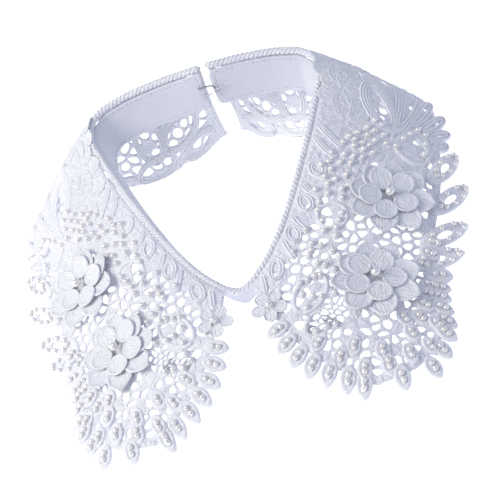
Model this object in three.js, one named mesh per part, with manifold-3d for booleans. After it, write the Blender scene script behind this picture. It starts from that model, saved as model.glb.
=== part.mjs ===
// A detachable lace collar that stands on a table, opened like a tent round the neck.
// A stitched neckband hangs inside a corded fold. Two pierced lace falls slope from the fold
// to the table and end in leaf hems. They carry four double flowers, two corner flowers and
// their pearls. A hook and eye holds the two ends together at the centre back.
// Millimetres, +Z up, the front faces -Y. Left and right are the viewer's.
import * as THREE from 'three';
import { mergeVertices } from 'three/addons/utils/BufferGeometryUtils.js';
import Module from 'manifold-3d';

const wasm = await Module();
wasm.setup();

// Neckline, along the fold
const NECK_WIDTH = 130; // between the two shoulder corners of the fold
const NECK_DEPTH = 132; // from the centre front to the centre back
const BACK_HEIGHT = 66; // fold above the table at the centre back
const CLOSURE_GAP = 3.6; // between the two ends at the centre back
const CLOSURE_SHIFT = 4; // the ends meet this far to the right of the middle

// Lace falls
const FALL_SPREAD = 60; // hem outside the fold at the shoulders
const FLAP_REACH = 72; // flap tips in front of the fold
const FALL_BELLY = 6; // rise of the fall over a straight line from fold to hem
const FRONT_BOW = 18; // curve of each flap's front edge towards the middle
const LACE_WALL = 1.8;
const LEAF_WALL = 2.4; // the leaves are padded
const LEAF_LENGTH = 15;
const LEAF_WIDTH = 7.5;
const MOTIF = 18; // width of one lace motif, which its gaps follow

// Neckband and the cord on the fold
const BAND_HEIGHT = 24; // at the back, from the fold
const BAND_FRONT_HEIGHT = 15; // at the centre front
const BAND_WALL = 1.6;
const BAND_LEAN = 15; // degrees that the band leans outward at the back
const CORD_RADIUS = 2;

// Flowers and pearls
const LOWER_RADIUS = 22.5;
const UPPER_RADIUS = 16.5;
const CORNER_RADIUS = 9;
const PETAL_WALL = 1;
const PETAL_RISE = 3.6; // petal tips above the flower's middle
const CORNER_RISE = 0.4; // the same on a corner flower, which lies nearly flat
const PEARL_RADIUS = 2.3;
const CORNER_PEARL_RADIUS = 1.7;

// Hook and eye
const WIRE_RADIUS = 0.45;
const EYE_WIDTH = 5;
const EYE_LENGTH = 9;
const HOOK_LENGTH = 9;

const CLEAR = 0.3; // between two pieces that touch
const SHOULDER_SHARE = 0.32; // place of the shoulder corner along a half of the fold

// One row for each section of a half, from the centre back (0) to the centre front (1).
// fold: side in half neck widths, ahead in neck depths, up in back heights.
// hem: out in fall spreads, on in flap reaches, both from the fold.
// belly and bow: shares of the fall's belly and of the front bow.
const SECTIONS = [
  { along: 0.0, side: 0.0, ahead: 1.0, up: 1.0, out: 0.037, on: 0.215, belly: 0.7, bow: 0 },
  { along: 0.12, side: 0.38, ahead: 1.011, up: 0.962, out: 0.0, on: 0.0, belly: 1.0, bow: 0 },
  { along: 0.24, side: 0.75, ahead: 0.995, up: 0.921, out: 0.083, on: -0.06, belly: 1.0, bow: 0 },
  { along: 0.29, side: 0.9, ahead: 0.97, up: 0.897, out: 0.425, on: -0.02, belly: 0.6, bow: 0 },
  { along: 0.32, side: 0.977, ahead: 0.928, up: 0.879, out: 0.808, on: -0.028, belly: 0.5, bow: 0 },
  { along: 0.36, side: 1.0, ahead: 0.86, up: 0.856, out: 0.983, on: -0.125, belly: 0.5, bow: 0 },
  { along: 0.44, side: 0.931, ahead: 0.739, up: 0.803, out: 1.083, on: -0.208, belly: 0.7, bow: 0 },
  { along: 0.56, side: 0.777, ahead: 0.549, up: 0.717, out: 1.2, on: -0.361, belly: 0.8, bow: 0 },
  { along: 0.68, side: 0.615, ahead: 0.379, up: 0.633, out: 1.2, on: -0.576, belly: 0.8, bow: 0 },
  { along: 0.8, side: 0.438, ahead: 0.216, up: 0.545, out: 1.208, on: -0.667, belly: 0.8, bow: 0.1 },
  { along: 0.9, side: 0.254, ahead: 0.087, up: 0.477, out: 1.275, on: -0.903, belly: 0.8, bow: 0.3 },
  { along: 0.93, side: 0.185, ahead: 0.052, up: 0.458, out: 1.2, on: -1.018, belly: 0.75, bow: 0.55 },
  { along: 0.96, side: 0.115, ahead: 0.021, up: 0.439, out: 0.908, on: -1.004, belly: 0.7, bow: 1 },
  { along: 1.0, side: 0.0, ahead: 0.0, up: 0.417, out: 0.5, on: -0.88, belly: 0.7, bow: 1.1 },
];

// Gaps in one fall. A ring sets its gaps round its middle, a row sets them side by side.
// spread: ring radius or row pitch. spread, length and width are shares of a motif, and
// turn is the row's direction in degrees from the neckline.
const GAPS = [
  { form: 'ring', along: 0.413, across: 0.41, count: 1, spread: 0, length: 0.75, width: 0.5, turn: 60 },
  { form: 'ring', along: 0.752, across: 0.22, count: 5, spread: 0.42, length: 0.4, width: 0.28, turn: 0 },
  { form: 'ring', along: 0.905, across: 0.27, count: 5, spread: 0.38, length: 0.32, width: 0.22, turn: 0 },
  { form: 'ring', along: 0.765, across: 0.42, count: 4, spread: 0.36, length: 0.42, width: 0.34, turn: 45 },
  { form: 'ring', along: 0.917, across: 0.66, count: 5, spread: 0.42, length: 0.36, width: 0.3, turn: 0 },
  { form: 'row', along: 0.915, across: 0.1, count: 2, spread: 0.45, length: 0.3, width: 0.2, turn: 0 },
  { form: 'row', along: 0.83, across: 0.08, count: 2, spread: 0.5, length: 0.36, width: 0.18, turn: 0 },
  { form: 'row', along: 0.42, across: 0.68, count: 2, spread: 0.45, length: 0.34, width: 0.26, turn: 10 },
  { form: 'row', along: 0.5, across: 0.76, count: 2, spread: 0.55, length: 0.4, width: 0.28, turn: 20 },
  { form: 'row', along: 0.6, across: 0.82, count: 2, spread: 0.7, length: 0.3, width: 0.4, turn: 0 },
  { form: 'row', along: 0.745, across: 0.8, count: 3, spread: 0.6, length: 0.3, width: 0.36, turn: 0 },
  { form: 'row', along: 0.87, across: 0.83, count: 2, spread: 0.7, length: 0.34, width: 0.36, turn: 0 },
  { form: 'row', along: 0.33, across: 0.72, count: 2, spread: 0.8, length: 0.4, width: 0.3, turn: 0 },
  { form: 'row', along: 0.13, across: 0.24, count: 3, spread: 0.8, length: 0.3, width: 0.34, turn: 0 },
  { form: 'row', along: 0.13, across: 0.5, count: 4, spread: 0.66, length: 0.42, width: 0.34, turn: 0 },
  { form: 'row', along: 0.15, across: 0.76, count: 4, spread: 0.66, length: 0.34, width: 0.32, turn: 0 },
];
const GAP_SIDES = 5;

// Leaves of one hem. The first rows lie on the front edge, the others on the outer hem.
// first and last: places on that edge. length and width are shares of a leaf.
const LEAVES = [
  { edge: 'front', first: 0.36, last: 0.89, count: 6, length: 0.9, width: 0.9 },
  { edge: 'hem', first: 0.955, last: 0.8, count: 7, length: 1, width: 1 },
  { edge: 'hem', first: 0.766, last: 0.766, count: 1, length: 1, width: 1.3 },
  { edge: 'hem', first: 0.71, last: 0.48, count: 4, length: 1.5, width: 1.45 },
  { edge: 'hem', first: 0.44, last: 0.355, count: 5, length: 1.1, width: 0.7 },
];
const LACE_END_SHARE = 0.96; // the lace leaves the neckband bare between its front ends
const LACE_ROWS = 3; // rows of the lace grid from fold to hem
const HEM_SHARE = 0.905; // hem between the leaves, as a share of the way to their tips
const FRONT_HEM_SHARE = 0.95; // front edge between its leaves

// Where the flowers sit on each fall
const FLOWERS = [
  { along: 0.648, across: 0.515, turn: 10 },
  { along: 0.84, across: 0.555, turn: 40 },
];
const CORNER_FLOWER = { along: 0.95, across: 0.19, turn: 0 };
const LOWER_PETALS = 8;
const UPPER_PETALS = 5;

const SIDES = { left: -1, right: 1 };

const cotton = new THREE.MeshStandardMaterial({ color: 0xeef0f6, roughness: 0.9, metalness: 0 });
const satin = new THREE.MeshStandardMaterial({ color: 0xe9ecf5, roughness: 0.75, metalness: 0 });
const twill = new THREE.MeshStandardMaterial({ color: 0xe4e7f1, roughness: 0.85, metalness: 0 });
const pearl = new THREE.MeshStandardMaterial({ color: 0xf1ece6, roughness: 0.2, metalness: 0 });
const steel = new THREE.MeshStandardMaterial({ color: 0xb9bcc4, roughness: 0.35, metalness: 1 });

// Value of a column of the section table at a place along the neckline, smoothed by cubics.
function column(name, along) {
  const last = SECTIONS.length - 1;
  const width = (i) => SECTIONS[i + 1].along - SECTIONS[i].along;
  const slope = (i) => (SECTIONS[i + 1][name] - SECTIONS[i][name]) / width(i);
  const tangent = (i) => {
    if (i === 0) return slope(0);
    if (i === last) return name === 'side' ? slope(last - 1) : 0;
    const before = width(i - 1);
    const after = width(i);
    return (slope(i - 1) * after + slope(i) * before) / (before + after);
  };
  let i = 0;
  while (i < last - 1 && along > SECTIONS[i + 1].along) i += 1;
  const span = width(i);
  const t = (along - SECTIONS[i].along) / span;
  const rise = SECTIONS[i + 1][name] - SECTIONS[i][name];
  const start = tangent(i) * span;
  const end = tangent(i + 1) * span;
  const square = 3 * rise - 2 * start - end;
  const cube = start + end - 2 * rise;
  return SECTIONS[i][name] + t * (start + t * (square + t * cube));
}

// Sideways move of the back ends: half the gap between them, and their shift to one side.
function backMove(side, along) {
  const share = Math.max(0, 1 - along / SHOULDER_SHARE) ** 2;
  return share * (side * CLOSURE_GAP / 2 + CLOSURE_SHIFT);
}

// Point of the fold line of one half.
function foldPoint(side, along) {
  return new THREE.Vector3(
    side * column('side', along) * NECK_WIDTH / 2 + backMove(side, along),
    column('ahead', along) * NECK_DEPTH,
    column('up', along) * BACK_HEIGHT,
  );
}

// Point of the plain slope from fold to hem, on the right half before its back move.
function slopePoint(along, across) {
  const fold = new THREE.Vector3(
    column('side', along) * NECK_WIDTH / 2,
    column('ahead', along) * NECK_DEPTH,
    column('up', along) * BACK_HEIGHT,
  );
  const run = new THREE.Vector3(
    column('out', along) * FALL_SPREAD,
    column('on', along) * FLAP_REACH,
    LACE_WALL / 2 - fold.z,
  );
  const aside = new THREE.Vector3(run.y, -run.x, 0).normalize();
  const bow = column('bow', along) * FRONT_BOW * Math.sin(Math.PI * across);
  return fold.addScaledVector(run, across).addScaledVector(aside, bow);
}

// Middle of the lace at a place on a half, with its directions along the neckline, down
// the fall and out of the lace.
function laceFrame(side, along, across) {
  const step = 0.001;
  const point = slopePoint(along, across);
  const on = slopePoint(along + step, across).sub(point).divideScalar(step);
  const down = slopePoint(along, across + step).sub(point).divideScalar(step);
  const normal = new THREE.Vector3().crossVectors(on, down).normalize();
  const belly = column('belly', along) * FALL_BELLY * Math.sin(Math.PI * across ** 0.8);
  point.addScaledVector(normal, belly + LACE_WALL / 2 + CLEAR);
  for (const vector of [point, on, down, normal]) vector.x *= side;
  point.x += backMove(side, along);
  return { point, on, down, normal };
}

// Place on the fall that lies (x, y) mm from a middle, measured in the lace's own plane there:
// x along the neckline, y down the fall.
function placeBeside(side, middle, x, y) {
  const home = laceFrame(side, middle.along, middle.across);
  const axisX = home.on.clone().normalize();
  const axisY = home.down.clone().addScaledVector(axisX, -home.down.dot(axisX)).normalize();
  const place = { along: middle.along, across: middle.across };
  for (let turn = 0; turn < 4; turn += 1) {
    const here = laceFrame(side, place.along, place.across);
    const miss = here.point.clone().sub(home.point);
    const missX = x - miss.dot(axisX);
    const missY = y - miss.dot(axisY);
    const a = here.on.dot(axisX);
    const b = here.down.dot(axisX);
    const c = here.on.dot(axisY);
    const d = here.down.dot(axisY);
    const size = a * d - b * c;
    place.along = Math.min(0.999, place.along + (missX * d - missY * b) / size);
    place.across += (missY * a - missX * c) / size;
  }
  return place;
}

// Point over the lace, raised along its normal.
function overLace(side, place, lift) {
  const frame = laceFrame(side, place.along, place.across);
  return frame.point.addScaledVector(frame.normal, lift);
}

// Closed geometry from points and faces, turned so that its faces point out.
function closedGeometry(points, triangles) {
  let volume = 0;
  for (const [a, b, c] of triangles) {
    volume += points[a].dot(new THREE.Vector3().crossVectors(points[b], points[c]));
  }
  const facing = volume > 0 ? triangles : triangles.map(([a, b, c]) => [a, c, b]);
  const geometry = new THREE.BufferGeometry();
  geometry.setAttribute('position', new THREE.Float32BufferAttribute(points.flatMap((p) => p.toArray()), 3));
  geometry.setIndex(facing.flat());
  return geometry;
}

// Closed solid between two rings of points with the same count, such as an outline's two faces.
function slabBetween(upper, lower) {
  const count = upper.length;
  const triangles = [];
  for (let i = 1; i < count - 1; i += 1) {
    triangles.push([0, i, i + 1]);
    triangles.push([count, count + i + 1, count + i]);
  }
  for (let i = 0; i < count; i += 1) {
    const next = (i + 1) % count;
    triangles.push([i, count + i, count + next]);
    triangles.push([i, count + next, next]);
  }
  return closedGeometry([...upper, ...lower], triangles);
}

// Solid of the boolean library from a closed geometry.
function toSolid(geometry) {
  const merged = geometry.clone();
  merged.deleteAttribute('normal');
  merged.deleteAttribute('uv');
  const welded = mergeVertices(merged, 1e-4);
  return new wasm.Manifold(new wasm.Mesh({
    numProp: 3,
    vertProperties: new Float32Array(welded.attributes.position.array),
    triVerts: new Uint32Array(welded.index.array),
  }));
}

// Geometry of a boolean result.
function toGeometry(solid) {
  const mesh = solid.getMesh();
  const geometry = new THREE.BufferGeometry();
  geometry.setAttribute('position', new THREE.Float32BufferAttribute(mesh.vertProperties, 3));
  geometry.setIndex(Array.from(mesh.triVerts));
  return geometry;
}

// Distance between the fold line and the near edge of what hangs from the cord.
const CORD_SEAT = CORD_RADIUS + CLEAR;

// Places along a half where the lace grid has a column: every section, and the middle of
// each wide stretch between two of them.
function gridColumns() {
  const rows = SECTIONS.filter((row) => row.along <= LACE_END_SHARE).map((row) => row.along);
  const wide = 0.05;
  return rows.flatMap((along, i) => {
    const next = rows[i + 1] ?? along;
    return next - along > wide ? [along, (along + next) / 2] : [along];
  });
}

// Place of a lace grid node, from its station along the fold and its share of the way to the
// hem. Where leaves follow, the cloth ends short of the outline: at the front below the band,
// and along the hem from the shoulder on.
function lacePlace(side, station, q) {
  const belowBand = THREE.MathUtils.smoothstep(q, 0, LEAVES[0].first);
  const front = THREE.MathUtils.lerp(LACE_END_SHARE, FRONT_HEM_SHARE, belowBand);
  const along = station * front / LACE_END_SHARE;
  const pastShoulder = THREE.MathUtils.smoothstep(along, SHOULDER_SHARE - 0.06, SHOULDER_SHARE + 0.02);
  const hem = THREE.MathUtils.lerp(1, HEM_SHARE, pastShoulder);
  const length = laceFrame(side, along, 0.5).down.length();
  const top = CORD_SEAT / length;
  return { along, across: THREE.MathUtils.lerp(top, hem, q) };
}

// Unpierced lace cloth of one half, a bent plate in a grid.
function laceCloth(side) {
  const places = gridColumns();
  const columns = places.length - 1;
  const rows = LACE_ROWS;
  const points = [];
  for (const lift of [LACE_WALL / 2, -LACE_WALL / 2]) {
    for (let i = 0; i <= columns; i += 1) {
      for (let j = 0; j <= rows; j += 1) {
        points.push(overLace(side, lacePlace(side, places[i], j / rows), lift));
      }
    }
  }
  const node = (layer, i, j) => (layer * (columns + 1) + i) * (rows + 1) + j;
  const triangles = [];
  const quad = (a, b, c, d) => triangles.push([a, b, c], [a, c, d]);
  for (let i = 0; i < columns; i += 1) {
    for (let j = 0; j < rows; j += 1) {
      quad(node(0, i, j), node(0, i + 1, j), node(0, i + 1, j + 1), node(0, i, j + 1));
      quad(node(1, i, j), node(1, i, j + 1), node(1, i + 1, j + 1), node(1, i + 1, j));
    }
    quad(node(0, i, 0), node(1, i, 0), node(1, i + 1, 0), node(0, i + 1, 0));
    quad(node(0, i + 1, rows), node(1, i + 1, rows), node(1, i, rows), node(0, i, rows));
  }
  for (let j = 0; j < rows; j += 1) {
    quad(node(0, 0, j + 1), node(1, 0, j + 1), node(1, 0, j), node(0, 0, j));
    quad(node(0, columns, j), node(1, columns, j), node(1, columns, j + 1), node(0, columns, j + 1));
  }
  return closedGeometry(points, triangles);
}

// One padded hem leaf from its tip on the outline to its root on the cloth. Its own outline
// goes back from the tip and out to each side, in leaf lengths and widths.
function leaf(side, edge, at, length, width) {
  const tip = edge === 'front' ? { along: LACE_END_SHARE, across: at } : { along: at, across: 1 };
  const frame = laceFrame(side, tip.along, tip.across);
  const root = edge === 'front'
    ? { along: LACE_END_SHARE - length / frame.on.length(), across: at }
    : { along: at, across: 1 - length / frame.down.length() };
  const end = overLace(side, root, 0);
  const run = end.clone().sub(frame.point);
  const aside = new THREE.Vector3().crossVectors(frame.normal, run).normalize();
  const outline = [[0, 0], [0.42, 0.5], [1, 0.25], [1, -0.25], [0.42, -0.5]];
  const face = (lift) => outline.map(([back, out]) => frame.point.clone()
    .addScaledVector(run, back)
    .addScaledVector(aside, out * width)
    .addScaledVector(frame.normal, lift));
  return slabBetween(face(LEAF_WALL / 2), face(-LEAF_WALL / 2));
}

// Flat-sided prism through the lace, from an outline in the lace's plane at a place.
function prismThrough(side, place, outline, reach) {
  const frame = laceFrame(side, place.along, place.across);
  const axisX = frame.on.clone().normalize();
  const axisY = frame.down.clone().addScaledVector(axisX, -frame.down.dot(axisX)).normalize();
  const face = (lift) => outline.map((point) => frame.point.clone()
    .addScaledVector(axisX, point.x)
    .addScaledVector(axisY, point.y)
    .addScaledVector(frame.normal, lift));
  return slabBetween(face(reach), face(-reach));
}

// Flat-sided prism for one gap.
function gapCutter(side, middle, x, y, length, width, turn) {
  const outline = [];
  for (let i = 0; i < GAP_SIDES; i += 1) {
    const angle = (i / GAP_SIDES) * Math.PI * 2;
    const point = new THREE.Vector2(Math.cos(angle) * length / 2, Math.sin(angle) * width / 2);
    outline.push(point.rotateAround(new THREE.Vector2(), turn));
  }
  return prismThrough(side, placeBeside(side, middle, x, y), outline, LEAF_WALL * 2);
}

// Cutters of one row of the table of gaps.
function gapCutters(side, row) {
  const cutters = [];
  const turn = THREE.MathUtils.degToRad(row.turn);
  for (let i = 0; i < row.count; i += 1) {
    const angle = row.form === 'ring' ? turn + (i / row.count) * Math.PI * 2 : turn;
    const pitch = row.spread * MOTIF;
    const far = row.form === 'ring' ? pitch : (i - (row.count - 1) / 2) * pitch;
    const long = row.form === 'ring' ? angle : angle + Math.PI / 2;
    cutters.push(gapCutter(side, row, Math.cos(angle) * far, Math.sin(angle) * far,
      row.length * MOTIF, row.width * MOTIF, long));
  }
  return cutters;
}

// Pierced lace fall of one half with its leaf hem.
function laceFall(side) {
  let solid = toSolid(laceCloth(side));
  for (const row of LEAVES) {
    for (let i = 0; i < row.count; i += 1) {
      const at = THREE.MathUtils.lerp(row.first, row.last, row.count > 1 ? i / (row.count - 1) : 0);
      solid = solid.add(toSolid(leaf(side, row.edge, at, row.length * LEAF_LENGTH, row.width * LEAF_WIDTH)));
    }
  }
  for (const row of GAPS) {
    for (const cutter of gapCutters(side, row)) solid = solid.subtract(toSolid(cutter));
  }
  return toGeometry(solid);
}

// Directions of the neckband at a place on a half: inward over the table, and down the band.
function bandFrame(side, along) {
  const step = 0.002;
  const ahead = foldPoint(side, Math.min(1, along + step)).sub(foldPoint(side, along - step));
  const inward = new THREE.Vector3(side * ahead.y, -side * ahead.x, 0).normalize();
  if (along > 1 - step) inward.set(0, 1, 0);
  const pastShoulder = THREE.MathUtils.smoothstep(along, SHOULDER_SHARE, SHOULDER_SHARE + 0.1);
  const nearFront = THREE.MathUtils.smoothstep(along, 0.8, 1);
  const lean = THREE.MathUtils.degToRad(BAND_LEAN * (1 - 0.3 * (pastShoulder - nearFront)));
  const down = inward.clone().multiplyScalar(Math.sin(lean));
  down.z = -Math.cos(lean);
  const face = inward.clone().multiplyScalar(Math.cos(lean));
  face.z = Math.sin(lean);
  return { down, face };
}

// Height of the neckband under the fold at a place on a half.
function bandHeight(along) {
  return THREE.MathUtils.lerp(BAND_HEIGHT, BAND_FRONT_HEIGHT, THREE.MathUtils.smoothstep(along, 0.6, 1));
}

// Point of the neckband: sunk is the way down from the fold, and lift the way inward from
// the band's middle.
function bandPoint(side, along, sunk, lift) {
  const { down, face } = bandFrame(side, along);
  return foldPoint(side, along)
    .addScaledVector(down, sunk)
    .addScaledVector(face, BAND_WALL / 2 + CLEAR + lift);
}

// Places along both halves in one line, from the left back end over the front to the right.
function wholeNeckline(steps) {
  const places = [];
  for (let i = 0; i <= 2 * steps; i += 1) {
    const side = i < steps ? SIDES.left : SIDES.right;
    places.push({ side, along: 1 - Math.abs(i - steps) / steps });
  }
  return places;
}

const BAND_STEPS = 22; // of one half

// Neckband, one strip with its corners mitred round the neck.
function neckband() {
  const sections = wholeNeckline(BAND_STEPS).map(({ side, along }) => [
    bandPoint(side, along, CORD_SEAT, BAND_WALL / 2),
    bandPoint(side, along, bandHeight(along), BAND_WALL / 2),
    bandPoint(side, along, bandHeight(along), -BAND_WALL / 2),
    bandPoint(side, along, CORD_SEAT, -BAND_WALL / 2),
  ]);
  const triangles = [[0, 1, 2], [0, 2, 3]];
  for (let i = 0; i < sections.length - 1; i += 1) {
    for (let j = 0; j < 4; j += 1) {
      const a = i * 4 + j;
      const b = i * 4 + (j + 1) % 4;
      triangles.push([a, a + 4, b + 4], [a, b + 4, b]);
    }
  }
  const end = (sections.length - 1) * 4;
  triangles.push([end, end + 2, end + 1], [end, end + 3, end + 2]);
  return closedGeometry(sections.flat(), triangles);
}

// Solid of a round section along a curve.
function tube(points, radius, steps, sides) {
  const round = new THREE.Shape();
  for (let i = 0; i < sides; i += 1) {
    const angle = (i / sides) * Math.PI * 2;
    const corner = [Math.cos(angle) * radius, Math.sin(angle) * radius];
    if (i === 0) round.moveTo(...corner);
    else round.lineTo(...corner);
  }
  round.closePath();
  return new THREE.ExtrudeGeometry(round, {
    steps,
    extrudePath: new THREE.CatmullRomCurve3(points, false, 'centripetal'),
    bevelEnabled: false,
  });
}

// Cord on the fold, from one back end to the other.
function neckCord() {
  const line = wholeNeckline(BAND_STEPS).map(({ side, along }) => foldPoint(side, along));
  return tube(line, CORD_RADIUS, 2 * (BAND_STEPS - 2), 6);
}

// Petals lie on the lace, and the upper ones on the lower.
const PETAL_SEAT = LACE_WALL / 2 + CLEAR;
const UPPER_SEAT = PETAL_SEAT + PETAL_WALL + CLEAR;

// The three shapes of petals. steps counts the points on the rim of one petal.
const LOWER_SHAPE = {
  count: LOWER_PETALS, radius: LOWER_RADIUS, waist: 0.7, rise: PETAL_RISE, base: PETAL_SEAT, steps: 4,
};
const UPPER_SHAPE = {
  count: UPPER_PETALS, radius: UPPER_RADIUS, waist: 0.6, rise: PETAL_RISE, base: UPPER_SEAT, steps: 4,
};
const CORNER_SHAPE = {
  count: UPPER_PETALS, radius: CORNER_RADIUS, waist: 0.6, rise: CORNER_RISE, base: PETAL_SEAT, steps: 4,
};

// Petals of one flower, a lobed plate that cups up from its middle. waist is the radius
// between two petals as a share of the petals' radius.
function petals(side, middle, shape) {
  const { count, radius, waist, rise, base } = shape;
  const turn = THREE.MathUtils.degToRad(middle.turn);
  const steps = shape.steps * count;
  const rings = [0.5, 1];
  const points = [];
  const pointAt = (x, y, lift) => overLace(side, placeBeside(side, middle, x, y), lift);
  for (const thick of [PETAL_WALL, 0]) {
    points.push(pointAt(0, 0, base + thick));
    for (const ring of rings) {
      for (let i = 0; i < steps; i += 1) {
        const angle = (i / steps) * Math.PI * 2;
        const lobe = Math.abs(Math.cos(angle * count / 2)) ** 0.7;
        const reach = ring === 1 ? radius * (waist + (1 - waist) * lobe) : radius * waist * ring;
        const turned = angle + turn;
        const cup = rise * (reach / radius) ** 2;
        points.push(pointAt(Math.cos(turned) * reach, Math.sin(turned) * reach, base + thick + cup));
      }
    }
  }
  const layer = 1 + rings.length * steps;
  const triangles = [];
  for (let i = 0; i < steps; i += 1) {
    const next = (i + 1) % steps;
    const inner = [1 + i, 1 + next];
    const outer = [1 + steps + i, 1 + steps + next];
    triangles.push([0, inner[0], inner[1]]);
    triangles.push([inner[0], outer[0], outer[1]]);
    triangles.push([inner[0], outer[1], inner[1]]);
    triangles.push([layer, layer + inner[1], layer + inner[0]]);
    triangles.push([layer + inner[0], layer + outer[1], layer + outer[0]]);
    triangles.push([layer + inner[0], layer + inner[1], layer + outer[1]]);
    triangles.push([outer[0], layer + outer[0], layer + outer[1]]);
    triangles.push([outer[0], layer + outer[1], outer[1]]);
  }
  return closedGeometry(points, triangles);
}

// Pearl over a flower, as a mesh at its own place.
function pearlMesh(name, side, middle, seat, radius) {
  const ball = new THREE.SphereGeometry(radius, 9, 6);
  const mesh = new THREE.Mesh(mergeVertices(strip(ball)), pearl);
  mesh.name = name;
  mesh.position.copy(overLace(side, middle, seat + PETAL_WALL + CLEAR + radius));
  return mesh;
}

// Geometry with its positions only.
function strip(geometry) {
  geometry.deleteAttribute('normal');
  geometry.deleteAttribute('uv');
  return geometry;
}

// Point at the closure: across the back to the right, down the band and inward from its face.
function closurePoint(right, down, inward) {
  const middle = (BAND_HEIGHT + CORD_SEAT) / 2;
  const frame = bandFrame(SIDES.right, 0);
  const left = bandPoint(SIDES.left, 0, middle, BAND_WALL / 2);
  const point = bandPoint(SIDES.right, 0, middle, BAND_WALL / 2).lerp(left, 0.5);
  const face = new THREE.Vector3(0, -Math.hypot(frame.face.x, frame.face.y), frame.face.z);
  point.x += right;
  return point.addScaledVector(frame.down, down).addScaledVector(face, inward);
}

const WIRE_STEPS = 14; // of one bent wire

// Wire eye, a bow on the left end that reaches over the gap.
function closureEye() {
  const high = WIRE_RADIUS + CLEAR;
  const foot = -EYE_LENGTH * 0.65;
  const bend = EYE_LENGTH * 0.2;
  const tip = EYE_LENGTH * 0.35;
  const half = EYE_WIDTH / 2;
  return tube([
    closurePoint(foot, -half, high),
    closurePoint(0, -half, high),
    closurePoint(bend, -half * 0.85, high),
    closurePoint(tip, 0, high),
    closurePoint(bend, half * 0.85, high),
    closurePoint(0, half, high),
    closurePoint(foot, half, high),
  ], WIRE_RADIUS, WIRE_STEPS, 6);
}

// Hook, a wire on the right end that passes over the eye's bow and turns back under it.
function closureHook() {
  const eye = WIRE_RADIUS + CLEAR;
  const step = 2 * WIRE_RADIUS + CLEAR;
  const bow = EYE_LENGTH * 0.35;
  const nose = bow - step - WIRE_RADIUS;
  return tube([
    closurePoint(HOOK_LENGTH, 0, eye),
    closurePoint(HOOK_LENGTH * 0.7, 0, eye),
    closurePoint(bow + step, 0, eye + step * 0.8),
    closurePoint(bow, 0, eye + step * 1.1),
    closurePoint(nose + 0.4 * step, 0, eye + step),
    closurePoint(nose - 0.1 * step, 0, eye),
  ], WIRE_RADIUS, WIRE_STEPS, 6);
}

// Named mesh added to the collar.
function place(group, name, geometry, material) {
  const mesh = new THREE.Mesh(strip(geometry), material);
  mesh.name = name;
  group.add(mesh);
  return mesh;
}

// The whole collar round its own axes.
function buildCollar() {
  const collar = new THREE.Group();
  place(collar, 'neckband', neckband(), twill);
  place(collar, 'neck_cord', mergeVertices(strip(neckCord())), cotton);
  let number = 1;
  for (const [word, side] of Object.entries(SIDES)) {
    place(collar, `lace_fall_${word}`, laceFall(side), cotton);
    for (const flower of FLOWERS) {
      place(collar, `lower_petals_${number}`, petals(side, flower, LOWER_SHAPE), satin);
      place(collar, `upper_petals_${number}`, petals(side, flower, UPPER_SHAPE), satin);
      collar.add(pearlMesh(`flower_pearl_${number}`, side, flower, UPPER_SEAT, PEARL_RADIUS));
      number += 1;
    }
    place(collar, `corner_petals_${word}`, petals(side, CORNER_FLOWER, CORNER_SHAPE), satin);
    const cornerPearl = `corner_pearl_${word}`;
    collar.add(pearlMesh(cornerPearl, side, CORNER_FLOWER, PETAL_SEAT, CORNER_PEARL_RADIUS));
  }
  place(collar, 'closure_eye', mergeVertices(strip(closureEye())), steel);
  place(collar, 'closure_hook', mergeVertices(strip(closureHook())), steel);
  return collar;
}

// The collar stands with the middle of its footprint at the origin.
const collar = buildCollar();
const box = new THREE.Box3().setFromObject(collar);
collar.position.set(-(box.min.x + box.max.x) / 2, -(box.min.y + box.max.y) / 2, -box.min.z);

const part = new THREE.Group();
part.add(collar);
export default part;
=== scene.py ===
"""Looks of a detachable guipure lace collar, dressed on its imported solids.

The two lace halves are drawn flat, on the unrolled pattern of one half, and then draped over
the shape that the solids have. Lengths in this file are in millimetres until a piece is made.
"""
from __future__ import annotations

import logging
import math
import random
from dataclasses import astuple, dataclass, field
from enum import Enum
from typing import Callable, Iterable, Sequence

import bmesh
import bpy
import numpy as np
from mathutils import Euler, Matrix, Vector
from mathutils.geometry import delaunay_2d_cdt


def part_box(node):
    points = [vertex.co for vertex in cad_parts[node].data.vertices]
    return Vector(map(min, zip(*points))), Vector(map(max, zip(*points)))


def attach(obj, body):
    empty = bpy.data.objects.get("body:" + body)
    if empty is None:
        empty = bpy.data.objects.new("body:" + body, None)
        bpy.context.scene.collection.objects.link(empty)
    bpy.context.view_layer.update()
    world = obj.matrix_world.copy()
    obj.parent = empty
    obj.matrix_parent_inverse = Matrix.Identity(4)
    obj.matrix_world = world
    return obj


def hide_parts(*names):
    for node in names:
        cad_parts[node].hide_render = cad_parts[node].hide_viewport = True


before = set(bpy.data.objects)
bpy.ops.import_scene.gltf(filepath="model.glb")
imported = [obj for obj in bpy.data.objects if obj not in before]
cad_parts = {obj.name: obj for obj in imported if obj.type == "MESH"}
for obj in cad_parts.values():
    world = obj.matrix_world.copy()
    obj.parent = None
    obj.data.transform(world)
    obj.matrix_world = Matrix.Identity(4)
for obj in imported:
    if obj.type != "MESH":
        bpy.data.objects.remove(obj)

LOG = logging.getLogger("lace_collar")
MM = 0.001
UV_UNIT = 10.0  # one unit of a UV map is this many millimetres
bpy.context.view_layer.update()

# Sizes that the solids have too
NECK_WIDTH = 130.0
NECK_DEPTH = 132.0
BACK_HEIGHT = 66.0
CLOSURE_GAP = 3.6
CLOSURE_SHIFT = 4.0
FALL_SPREAD = 60.0
FLAP_REACH = 72.0
FALL_BELLY = 6.0
FRONT_BOW = 18.0
LACE_WALL = 1.8
CLEAR = 0.3
SHOULDER_SHARE = 0.32
LACE_END = 0.96
HEM_SHARE = 0.905
FRONT_HEM = 0.95
BAND_HEIGHT = 24.0
BAND_FRONT_HEIGHT = 15.0
BAND_WALL = 1.6
BAND_LEAN = 15.0
CORD_RADIUS = 2.0
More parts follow.
